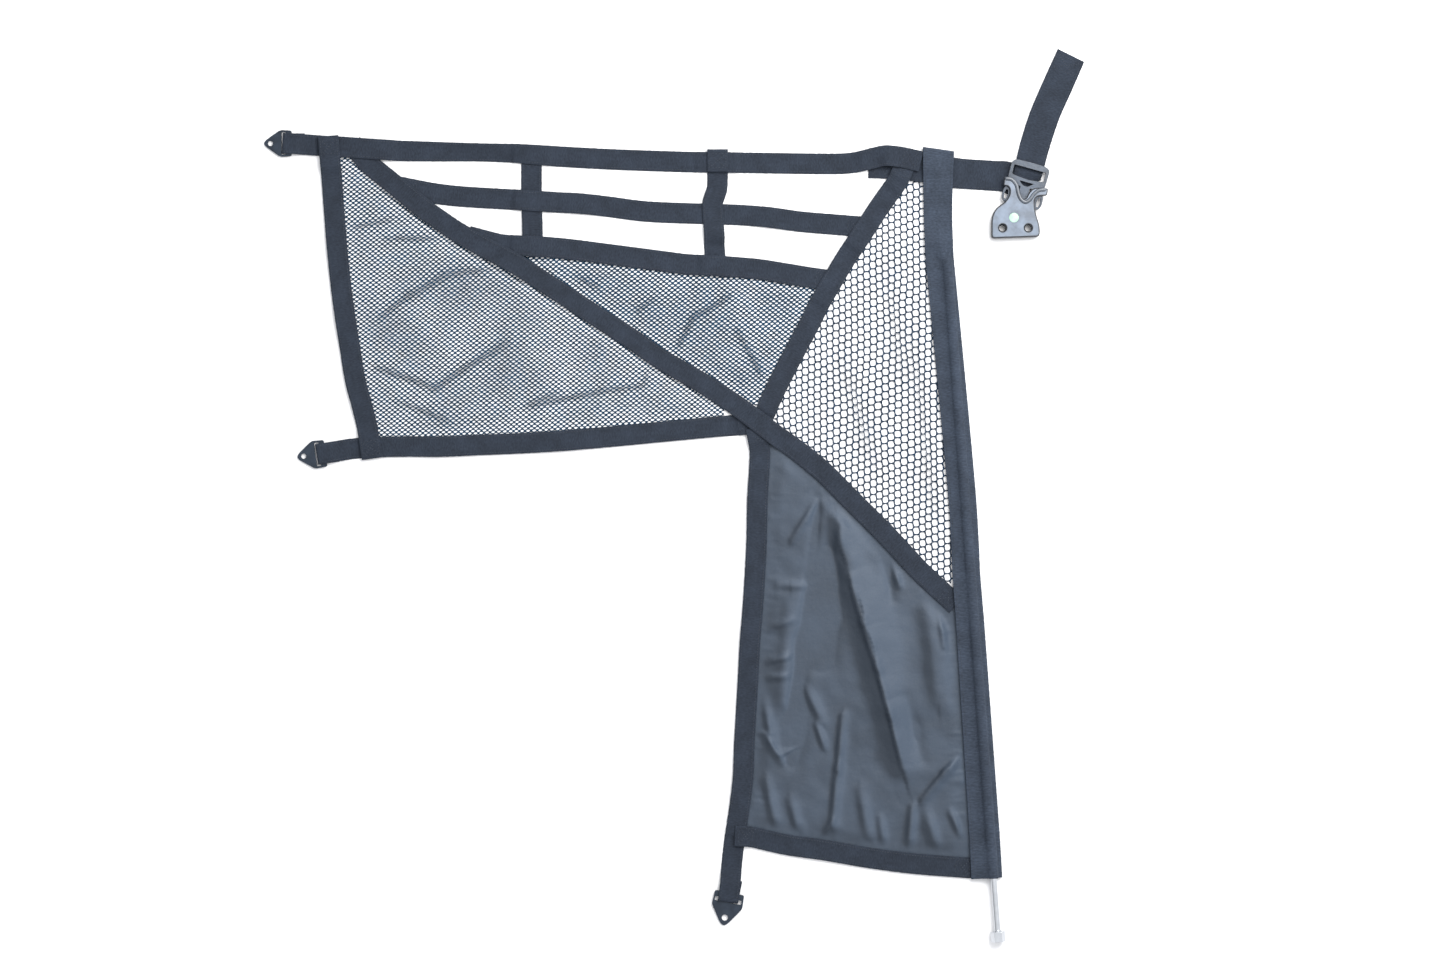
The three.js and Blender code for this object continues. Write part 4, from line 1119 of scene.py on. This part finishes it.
@dataclass
class Panel:
    """The creased fabric panel below the nets, with an allowance that lies under its straps."""

    node: str
    finish: bpy.types.Material
    relief: list[Fold]
    cell: float = 1.8 * MM
    thickness: float = 0.9 * MM
    allowance: float = 4.0 * MM
    billow: float = 1.6 * MM
    pucker: float = 1.1 * MM
    fade: tuple[float, float] = (13.5 * MM, 30.0 * MM)

    def build(self) -> bpy.types.Object:
        """Make the panel."""
        outline = Outline(self.node)
        low, high = outline.box()
        size = high - low
        bm = bmesh.new()
        width, height = size.x + 3.0 * self.allowance, size.y + 3.0 * self.allowance
        bmesh.ops.create_grid(bm, x_segments=math.ceil(width / self.cell),
                              y_segments=math.ceil(height / self.cell), size=0.5)
        bmesh.ops.scale(bm, vec=(width, height, 1.0), verts=bm.verts[:])
        bmesh.ops.translate(bm, vec=(low + high) / 2, verts=bm.verts[:])
        relief = Relief(outline, self.relief, self.thickness / 2, self.billow, self.pucker, self.fade)
        outside = []
        for vert in bm.verts:
            inset, edge = outline.near(vert.co.x, vert.co.y)
            if inset + self.allowance < -0.6 * self.cell:
                outside.append(vert)
                continue
            if inset + self.allowance < 0.4 * self.cell:
                vert.co = edge + (vert.co - edge).normalized() * self.allowance
            vert.co.z = relief.at(vert.co.x, vert.co.y)
        bmesh.ops.delete(bm, geom=outside, context="VERTS")
        # Paint the cloth's colour darker or lighter by its lean towards the light
        self._paint_lean_shade(bm)
        piece = make_piece(self.node + "_cloth", bm, self.finish, Slot.PANEL, [self.node])
        thicken(piece, self.thickness)
        LOG.info("%s: %.3f square metres", piece.name, outline.area)
        return piece

    @staticmethod
    def _paint_lean_shade(bm: bmesh.types.BMesh, rounds: int = 3) -> None:
        """Write at each corner how far the cloth leans towards the light, evened out in a few rounds, which
        paints light and shade into its colour.
        """
        bm.normal_update()
        layer = bm.verts.layers.float.new(LEAN_SHADE)
        lean = {vert: vert.normal.dot(LIGHT_SIDE) * math.copysign(1.0, vert.normal.z) for vert in bm.verts}
        for _ in range(rounds):
            around = {vert: [lean[edge.other_vert(vert)] for edge in vert.link_edges] for vert in lean}
            lean = {vert: (own + sum(around[vert])) / (1 + len(around[vert])) for vert, own in lean.items()}
        for vert, own in lean.items():
            vert[layer] = own


@dataclass
class HardPiece:
    """A rigid piece that keeps its packed form, with its edges rounded."""

    node: str
    finish: bpy.types.Material
    slot: Slot
    edge: float = 0.5 * MM
    flatness: float = 1.0
    # Width of the band along the upper faces' edges that is painted in shade with the walls, or 0 for none
    rim: float = 0.0
    corner: float = 0.0
    upright: float = 0.97
    least_turn: float = 6.0

    def build(self) -> bpy.types.Object:
        """Copy the node as clean faces, round its edges and even out its shading."""
        bm = merged_copy(self.node)
        bmesh.ops.dissolve_limit(bm, angle_limit=math.radians(self.flatness), verts=bm.verts[:],
                                 edges=bm.edges[:], use_dissolve_boundaries=False)
        if self.corner > 0.0:
            self._round_outline(bm)
        # Paint shade on the rim band and the walls
        if self.rim > 0.0:
            self._paint_rim_shade(bm)
        piece = make_piece(self.node + "_body", bm, self.finish, self.slot, [self.node])
        soften(piece, self.edge, 3)
        piece.modifiers.new("Shading", "WEIGHTED_NORMAL").keep_sharp = True
        LOG.info("%s", piece.name)
        return piece

    def _round_outline(self, bm: bmesh.types.BMesh) -> None:
        """Round the upright outer edges where two walls meet at more than a few degrees."""
        bm.normal_update()
        walls = []
        for edge in bm.edges:
            rise = abs((edge.verts[0].co - edge.verts[1].co).normalized().z)
            if rise > self.upright and edge.is_manifold and edge.is_convex:
                if edge.calc_face_angle() > math.radians(self.least_turn):
                    walls.append(edge)
        bmesh.ops.bevel(bm, geom=walls, offset=self.corner, offset_type="OFFSET", segments=3, profile=0.5,
                        affect="EDGES", clamp_overlap=True)

    def _paint_rim_shade(self, bm: bmesh.types.BMesh) -> None:
        """Inset the faces that look up and mark every corner outside them, where shade is painted."""
        layer = bm.verts.layers.float.new(RIM_SHADE)
        bm.normal_update()
        upper = [face for face in bm.faces if face.normal.z > 0.9]
        bmesh.ops.inset_region(bm, faces=upper, thickness=self.rim, use_boundary=True, use_even_offset=False)
        inner = {vert for face in upper for vert in face.verts}
        for vert in bm.verts:
            vert[layer] = 0.0 if vert in inner else 1.0


@dataclass
class Rod:
    """The polished rod in its sleeve, with a collar and a six-sided head."""

    node: str
    finish: bpy.types.Material
    radius: float = 3.9 * MM
    collar_radius: float = 5.0 * MM
    collar_length: float = 2.0 * MM
    head_length: float = 12.5 * MM
    head_radius: float = 9.0 * MM
    chamfer: float = 0.5 * MM
    head_edge: float = 1.2 * MM
    end_zone: float = 2.0 * MM
    sides: int = 40

    def build(self) -> bpy.types.Object:
        """Turn the bar and its collar, and add the head."""
        spots = [Vector(v.co) for v in bpy.data.objects[self.node].data.vertices]
        upper, lower = max(p.y for p in spots), min(p.y for p in spots)
        start = self._middle([p for p in spots if p.y > upper - self.end_zone])
        last = [p for p in spots if p.y < lower + self.end_zone]
        end = self._middle(last)
        corner = max(last, key=lambda p: (p - end).length)
        axis = (end - start).normalized()
        across = (corner - end).normalized()
        length = (end - start).length
        bm = bmesh.new()
        self._turn(bm, length - self.head_length)
        place = Matrix.Translation((0.0, 0.0, length - self.head_length / 2))
        bmesh.ops.create_cone(bm, cap_ends=True, segments=6, radius1=self.head_radius,
                              radius2=self.head_radius, depth=self.head_length, matrix=place)
        turned = Matrix((across.cross(axis), across, axis)).transposed().to_4x4()
        bmesh.ops.transform(bm, matrix=Matrix.Translation(start) @ turned, verts=bm.verts[:])
        bmesh.ops.recalc_face_normals(bm, faces=bm.faces[:])
        piece = make_piece(self.node + "_body", bm, self.finish, Slot.ROD, [self.node])
        soften(piece, self.head_edge, 3, 40.0)
        piece.modifiers.new("Shading", "WEIGHTED_NORMAL").keep_sharp = True
        LOG.info("%s: %.0f mm long", piece.name, length / MM)
        return piece

    @staticmethod
    def _middle(points: Sequence[Vector]) -> Vector:
        """Return the middle of some different points."""
        unique = {tuple(round(part, 6) for part in p) for p in points}
        return sum((Vector(p) for p in unique), Vector()) / len(unique)

    def _turn(self, bm: bmesh.types.BMesh, length: float) -> None:
        """Spin the outline of the bar and its collar about Z."""
        r, c, big = self.radius, self.chamfer, self.collar_radius
        step = length - self.collar_length
        outline = [(0.0, 0.0), (r - c, 0.0), (r, c), (r, step), (big - c, step), (big, step + c),
                   (big, length + c), (0.0, length + c)]
        verts = [bm.verts.new((radius, 0.0, z)) for radius, z in outline]
        edges = [bm.edges.new(pair) for pair in zip(verts, verts[1:])]
        bmesh.ops.spin(bm, geom=verts + edges, cent=(0.0, 0.0, 0.0), axis=UP, angle=math.tau,
                       steps=self.sides)
        bmesh.ops.remove_doubles(bm, verts=bm.verts[:], dist=0.01 * MM)


@dataclass
class Rib:
    """A raised moulded rib along a line, in pixels of the photograph."""

    name: str
    finish: bpy.types.Material
    slot: Slot
    line: tuple[tuple[float, float], ...]
    width: float
    bottom: float
    top: float

    def build(self) -> bpy.types.Object:
        """Loft a low rounded section along the line."""
        spline = Spline([on_floor(*pixel) for pixel in self.line])
        path = [spline.at(span, k / 6) for span in range(len(self.line) - 1) for k in range(6)]
        path.append(spline.points[-1])
        drop = self.top - 0.9 * MM
        brow = self.top - 0.1 * MM
        # Each row of the section: across, height and its share of painted shade, full on the sides, little on
        # the brow and none on top
        section = [(-1.0, self.bottom, 1.0), (-1.0, drop, 1.0), (-0.72, brow, 0.2), (0.0, self.top, 0.0),
                   (0.72, brow, 0.2), (1.0, drop, 1.0), (1.0, self.bottom, 1.0)]
        section.append(section[0])
        bm = bmesh.new()
        layer = bm.verts.layers.float.new(RIM_SHADE)
        bmesh.ops.create_grid(bm, x_segments=len(path) - 1, y_segments=len(section) - 1, size=0.5)
        for vert in bm.verts:
            i, k = round((vert.co.x + 0.5) * (len(path) - 1)), round((vert.co.y + 0.5) * (len(section) - 1))
            heading = path[min(i + 1, len(path) - 1)] - path[max(i - 1, 0)]
            shrink = 0.55 if i in (0, len(path) - 1) else 1.0
            across, z, mark = section[k]
            side = heading.cross(UP).normalized() * (self.width / 2 * shrink)
            vert.co = path[i] + side * across + UP * z
            vert[layer] = mark
        bmesh.ops.remove_doubles(bm, verts=bm.verts[:], dist=0.01 * MM)
        bmesh.ops.holes_fill(bm, edges=bm.edges[:], sides=0)
        bmesh.ops.recalc_face_normals(bm, faces=bm.faces[:])
        return make_piece(self.name, bm, self.finish, self.slot)


@dataclass
class Inlay:
    """The pale round inlay in the plate."""

    finish: bpy.types.Material
    middle: tuple[float, float] = (1013.4, 218.1)
    radius: float = 5.8 * MM
    bottom: float = 11.2 * MM
    top: float = 12.35 * MM

    def build(self) -> bpy.types.Object:
        """Make a low disc with a rounded edge."""
        bm = bmesh.new()
        place = on_floor(*self.middle) + UP * ((self.bottom + self.top) / 2)
        bmesh.ops.create_cone(bm, cap_ends=True, segments=40, radius1=self.radius, radius2=self.radius,
                              depth=self.top - self.bottom, matrix=Matrix.Translation(place))
        piece = make_piece("plate_inlay", bm, self.finish, Slot.DOT)
        soften(piece, 0.35 * MM, 2)
        return piece


# The cloths' folds: two pixels of the photograph, width, height and for the panel a lean
FINE_LEFT_FOLDS = (
    (385, 238, 448, 238, 3.6, 1.7), (381, 317, 410, 294, 3.8, 2.0), (406, 297, 452, 272, 4.0, 2.2),
    (446, 274, 502, 267, 3.4, 1.7), (349, 228, 390, 219, 3.2, 1.4), (376, 367, 438, 389, 4.0, 2.0),
    (432, 389, 507, 342, 4.2, 2.4), (398, 401, 448, 420, 3.4, 1.5), (526, 405, 560, 391, 3.4, 1.4),
    (533, 406, 604, 390, 3.6, 1.8), (600, 390, 645, 385, 3.4, 1.5), (643, 385, 651, 362, 3.2, 1.4),
)
FINE_MIDDLE_FOLDS = (
    (730, 296, 692, 318, 3.6, 1.9), (696, 313, 676, 350, 3.8, 2.0), (737, 329, 765, 380, 3.8, 2.0),
    (653, 298, 638, 311, 3.2, 1.5), (576, 277, 600, 288, 3.2, 1.2),
)
COARSE_FOLDS = (
    (914, 335, 935, 514, 9, 2.5), (845, 360, 877, 473, 10, 2.5), (889, 278, 903, 376, 9, 2),
)
PANEL_FOLDS = (
    (838, 520, 848, 572, 14, 6, 0.3), (848, 572, 866, 626, 22, 8, 0.35),
    (866, 626, 884, 700, 24, 9, 0.35), (884, 700, 902, 767, 20, 7, 0.3),
    (849, 578, 862, 624, 5, 3.6, 0.5), (861, 620, 876, 668, 5.5, 4.4, 0.5),
    (875, 664, 889, 716, 5.5, 4.4, 0.5), (888, 712, 902, 768, 5, 3.8, 0.5),
    (819, 496, 812, 579, 5, -3.6, -0.3), (812, 575, 801, 655, 5.5, -3.8, -0.3),
    (802, 650, 789, 724, 5.5, -3.2, 0), (817, 500, 792, 540, 4.6, 3.0, 0.3),
    (841, 524, 836, 560, 6, 3.0, 0.2), (834, 556, 822, 660, 13, -6, 0),
    (893, 560, 899, 586, 4, 3.4, 0.2), (886, 560, 892, 600, 6, -2.6, 0),
    (938, 600, 944, 646, 4.6, 3.2, 0.3), (928, 610, 938, 700, 14, 4.5, 0.2),
    (783, 761, 764, 733, 4.4, 4.0, 0.4), (782, 755, 799, 746, 4, 3.4, 0.3),
    (762, 700, 772, 742, 5, 3.2, 0.2), (816, 724, 824, 748, 4, 3.4, 0.3),
    (842, 716, 837, 770, 5, 4.2, 0.4), (837, 766, 832, 824, 5.5, 4.0, 0.4),
    (832, 820, 822, 840, 4.2, 3.0, 0.2), (966, 752, 944, 772, 6, 5.4, 0.4),
    (946, 770, 922, 800, 5.5, 4.6, 0.4), (912, 806, 908, 845, 5, 3.8, 0.3),
    (926, 812, 936, 846, 7, 3.2, 0), (950, 812, 961, 836, 4.2, 3.2, 0.2),
    (778, 585, 806, 586, 5, 2.4, 0), (770, 628, 792, 620, 4.4, 2.4, 0),
    (768, 662, 788, 657, 4.2, 3.0, 0.2), (766, 678, 786, 676, 4, 2.6, 0),
    (766, 780, 776, 830, 6, 3.2, 0.2), (790, 800, 800, 838, 6, 3.0, 0.2),
    (860, 790, 868, 836, 7, 3.0, 0.2), (880, 818, 884, 846, 5, 2.8, 0),
    (806, 690, 822, 722, 6, 3.2, 0.3), (905, 700, 921, 760, 10, -4, 0), (800, 640, 792, 760, 12, -5, 0),
    (790, 600, 784, 700, 14, 4, 0.2),
)

# The rib's line over the plate's horn, in pixels of the photograph
HORN_LINE = (
    (1004.5, 179.0), (1011.0, 180.0), (1015.8, 185.5), (1017.6, 193.0), (1020.2, 199.5), (1024.6, 202.6),
    (1029.0, 200.5), (1033.2, 194.8), (1038.4, 190.9), (1045.5, 190.0),
)

# Each strap, with a piece that it rests on
STRAPS = {
    "upright_left": (), "middle_strap": ("upright_left",), "upright_right": ("middle_strap",),
    "low_strap": ("fine_net_middle",), "short_diagonal_strap": ("coarse_net",),
    "bottom_left_strap": ("fine_net_left",), "panel_left_strap": ("fabric_panel",),
    "long_diagonal_strap": ("fine_net_left",), "top_strap": ("upright_left",), "left_strap": ("top_strap",),
    "panel_bottom_strap": ("fabric_panel",), "buckle_strap": ("anchor_plate",),
}

# How far the end that holds a tab is drawn out, in millimetres
TAB_LOOPS = {
    "top_strap": (-1.5, 0.0), "bottom_left_strap": (-1.2, -0.2), "panel_left_strap": (-0.4, -2.4),
}


@dataclass
class Studio:
    """The floor, the light and the camera over the net."""

    camera_height: float = 3.954
    lens: float = 80.0
    world_dim: float = 0.06
    world_bright: float = 1.42
    key_power: float = 44.0
    key_place: tuple[float, float, float] = (0.9, 1.0, 1.6)
    key_size: float = 1.3
    floor_reach: float = 4.0

    def build(self) -> None:
        """Set up everything around the object."""
        self._camera()
        self._lights()
        self._floor()

    def _camera(self) -> None:
        """Hang the camera over the middle of the photograph, looking straight down."""
        data = bpy.data.cameras.new("camera")
        data.lens, data.sensor_width = self.lens, 36.0
        data.clip_end = 30.0
        camera = bpy.data.objects.new("camera", data)
        camera.location = (*CENTRE_ON_FLOOR, self.camera_height)
        bpy.context.scene.collection.objects.link(camera)
        bpy.context.scene.camera = camera

    def _lights(self) -> None:
        """Light the floor evenly from a room that is brighter at the upper right, with one soft light."""
        world = bpy.data.worlds.new("studio")
        world.use_nodes = True
        tree = world.node_tree
        background = next(n for n in tree.nodes if n.type == "BACKGROUND")
        background.inputs["Color"].default_value = (0.97, 0.98, 1.0, 1.0)
        towards = tree.nodes.new("ShaderNodeVectorMath")
        towards.operation = "DOT_PRODUCT"
        towards.inputs[1].default_value = Vector(self.key_place).normalized()
        tree.links.new(tree.nodes.new("ShaderNodeTexCoord").outputs["Generated"], towards.inputs[0])
        brightness = tree.nodes.new("ShaderNodeMapRange")
        brightness.inputs["From Min"].default_value = -1.0
        brightness.inputs["To Min"].default_value = self.world_dim
        brightness.inputs["To Max"].default_value = self.world_bright
        tree.links.new(towards.outputs["Value"], brightness.inputs["Value"])
        tree.links.new(brightness.outputs["Result"], background.inputs["Strength"])
        bpy.context.scene.world = world
        data = bpy.data.lights.new("key", "AREA")
        data.energy, data.size, data.color = self.key_power, self.key_size, (1.0, 0.985, 0.96)
        key = bpy.data.objects.new("key", data)
        key.location = self.key_place
        key.rotation_euler = (-Vector(self.key_place)).to_track_quat("-Z", "Y").to_euler()
        bpy.context.scene.collection.objects.link(key)
        bpy.context.scene.view_settings.view_transform = "Standard"

    def _floor(self) -> None:
        """Lay a plain pale floor under the object."""
        bm = bmesh.new()
        bmesh.ops.create_grid(bm, x_segments=1, y_segments=1, size=self.floor_reach)
        mesh = bpy.data.meshes.new("floor")
        bm.to_mesh(mesh)
        bm.free()
        shader = Shader("floor_paint")
        shader.set(Base_Color=(0.9, 0.9, 0.91, 1.0), Roughness=0.9, Specular_IOR_Level=0.1)
        mesh.materials.append(shader.material)
        floor = bpy.data.objects.new("floor", mesh)
        bpy.context.scene.collection.objects.link(floor)
        floor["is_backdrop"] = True


def build_straps() -> None:
    """Make the border and cross straps and the rod's sleeve."""
    narrow = Webbing("strap_weave", rib=1.1 * MM).build()
    wide = Webbing("sleeve_weave", rib=1.7 * MM, colour=(0.0335, 0.044, 0.064), warp=1.2 * MM).build()
    thread = Yarn("seam_thread", colour=(0.040, 0.048, 0.062), twist=0.4 * MM).build()
    for node, under in STRAPS.items():
        Strap(node, narrow, thread, rests_on=under, loop=TAB_LOOPS.get(node, (0.0, 0.0))).build()
    Strap("rod_sleeve", wide, thread, corners=14, columns=26, step=2.5 * MM, rests_on=("steel_rod",)).build()


def build_sheets() -> None:
    """Make the two fine nets, the coarse net and the fabric panel."""
    fine = Yarn("fine_net_yarn", colour=(0.009, 0.033, 0.066), twist=0.9 * MM).build()
    coarse = Yarn("coarse_net_yarn", colour=(0.012, 0.029, 0.056), twist=0.7 * MM).build()
    slit = ((2.5, 0.3), (1.15, 1.3), (-0.95, 1.12), (-2.5, -0.3), (-1.15, -1.3), (0.95, -1.12))
    closed = tuple((x * 0.93, y * 0.93) for x, y in slit)
    for node, table, hole in (("fine_net_left", FINE_LEFT_FOLDS, slit),
                              ("fine_net_middle", FINE_MIDDLE_FOLDS, closed)):
        Net(node, fine, Slot.FINE_NET, first=(3.85, 2.95), second=(3.4, -2.6), shift=(0.9, -0.15),
            strand=0.45 * MM, thickness=0.6 * MM, relief=folds(table), hole=hole, cover=0.75,
            gather=0.28).build()
    Net("coarse_net", coarse, Slot.COARSE_NET, first=(7.6, 3.45), second=(7.6, -5.8), shift=(-0.67, -0.95),
        strand=0.61 * MM, thickness=1.1 * MM, relief=folds(COARSE_FOLDS), cover=0.58, gather=0.3).build()
    Panel("fabric_panel", PanelCloth("panel_nylon").build(), folds(PANEL_FOLDS)).build()


def build_hardware() -> None:
    """Make the tabs, the rod, the buckle and its anchor plate."""
    coated = Metal("tab_coating", (0.022, 0.031, 0.046), roughness=0.35, metallic=0.0, coat=0.06,
                   marks=0.2, specular=0.2).build()
    polished = Metal("rod_polish", (0.56, 0.58, 0.61), roughness=0.1, metallic=1.0, marks=0.0,
                     variation=0.06).build()
    # The colour of the shade painted on the plate's and buckle's rims and walls
    rim_shade_colour = (0.012, 0.016, 0.024)
    pale = Moulding("plate_moulding", (0.128, 0.163, 0.218), roughness=0.3, coat=0.1, rim=rim_shade_colour).build()
    grey = Moulding("buckle_moulding", (0.05, 0.066, 0.092), roughness=0.22, coat=0.04, rim=rim_shade_colour,
                    specular=0.3).build()
    # The horn rib's sides are painted in this darker shade
    horn = Moulding("horn_moulding", (0.065, 0.078, 0.098), roughness=0.3, rim=(0.018, 0.023, 0.032)).build()
    green = (0.42, 0.70, 0.50)
    mint = Moulding("inlay_plastic", green, roughness=0.35, rim=green).build()
    for node in ("tab_upper", "tab_middle", "tab_lower"):
        HardPiece(node, coated, Slot.TAB, corner=2.4 * MM).build()
    Rod("steel_rod", polished).build()
    HardPiece("anchor_plate", pale, Slot.PLATE, edge=0.5 * MM, rim=1.2 * MM, corner=1.6 * MM).build()
    HardPiece("buckle_frame", grey, Slot.BUCKLE, edge=0.3 * MM, rim=0.5 * MM).build()
    Rib("plate_horn_rib", horn, Slot.PLATE, HORN_LINE, width=4.6 * MM, bottom=11.0 * MM,
        top=13.4 * MM).build()
    Inlay(mint).build()


def write_sizes() -> None:
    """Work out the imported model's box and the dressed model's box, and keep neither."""
    boxes = {"cad": CAD_BOX, "visual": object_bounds()}
    {name: [list(map(float, corner)) for corner in box] for name, box in boxes.items()}


def main() -> None:
    """Build the studio and then each part of the net."""
    logging.basicConfig(level=logging.INFO, format="%(name)s: %(message)s")
    noise.seed_set(NOISE_SEED)
    Studio().build()
    build_straps()
    build_sheets()
    build_hardware()
    write_sizes()


if __name__ == "__main__":
    main()
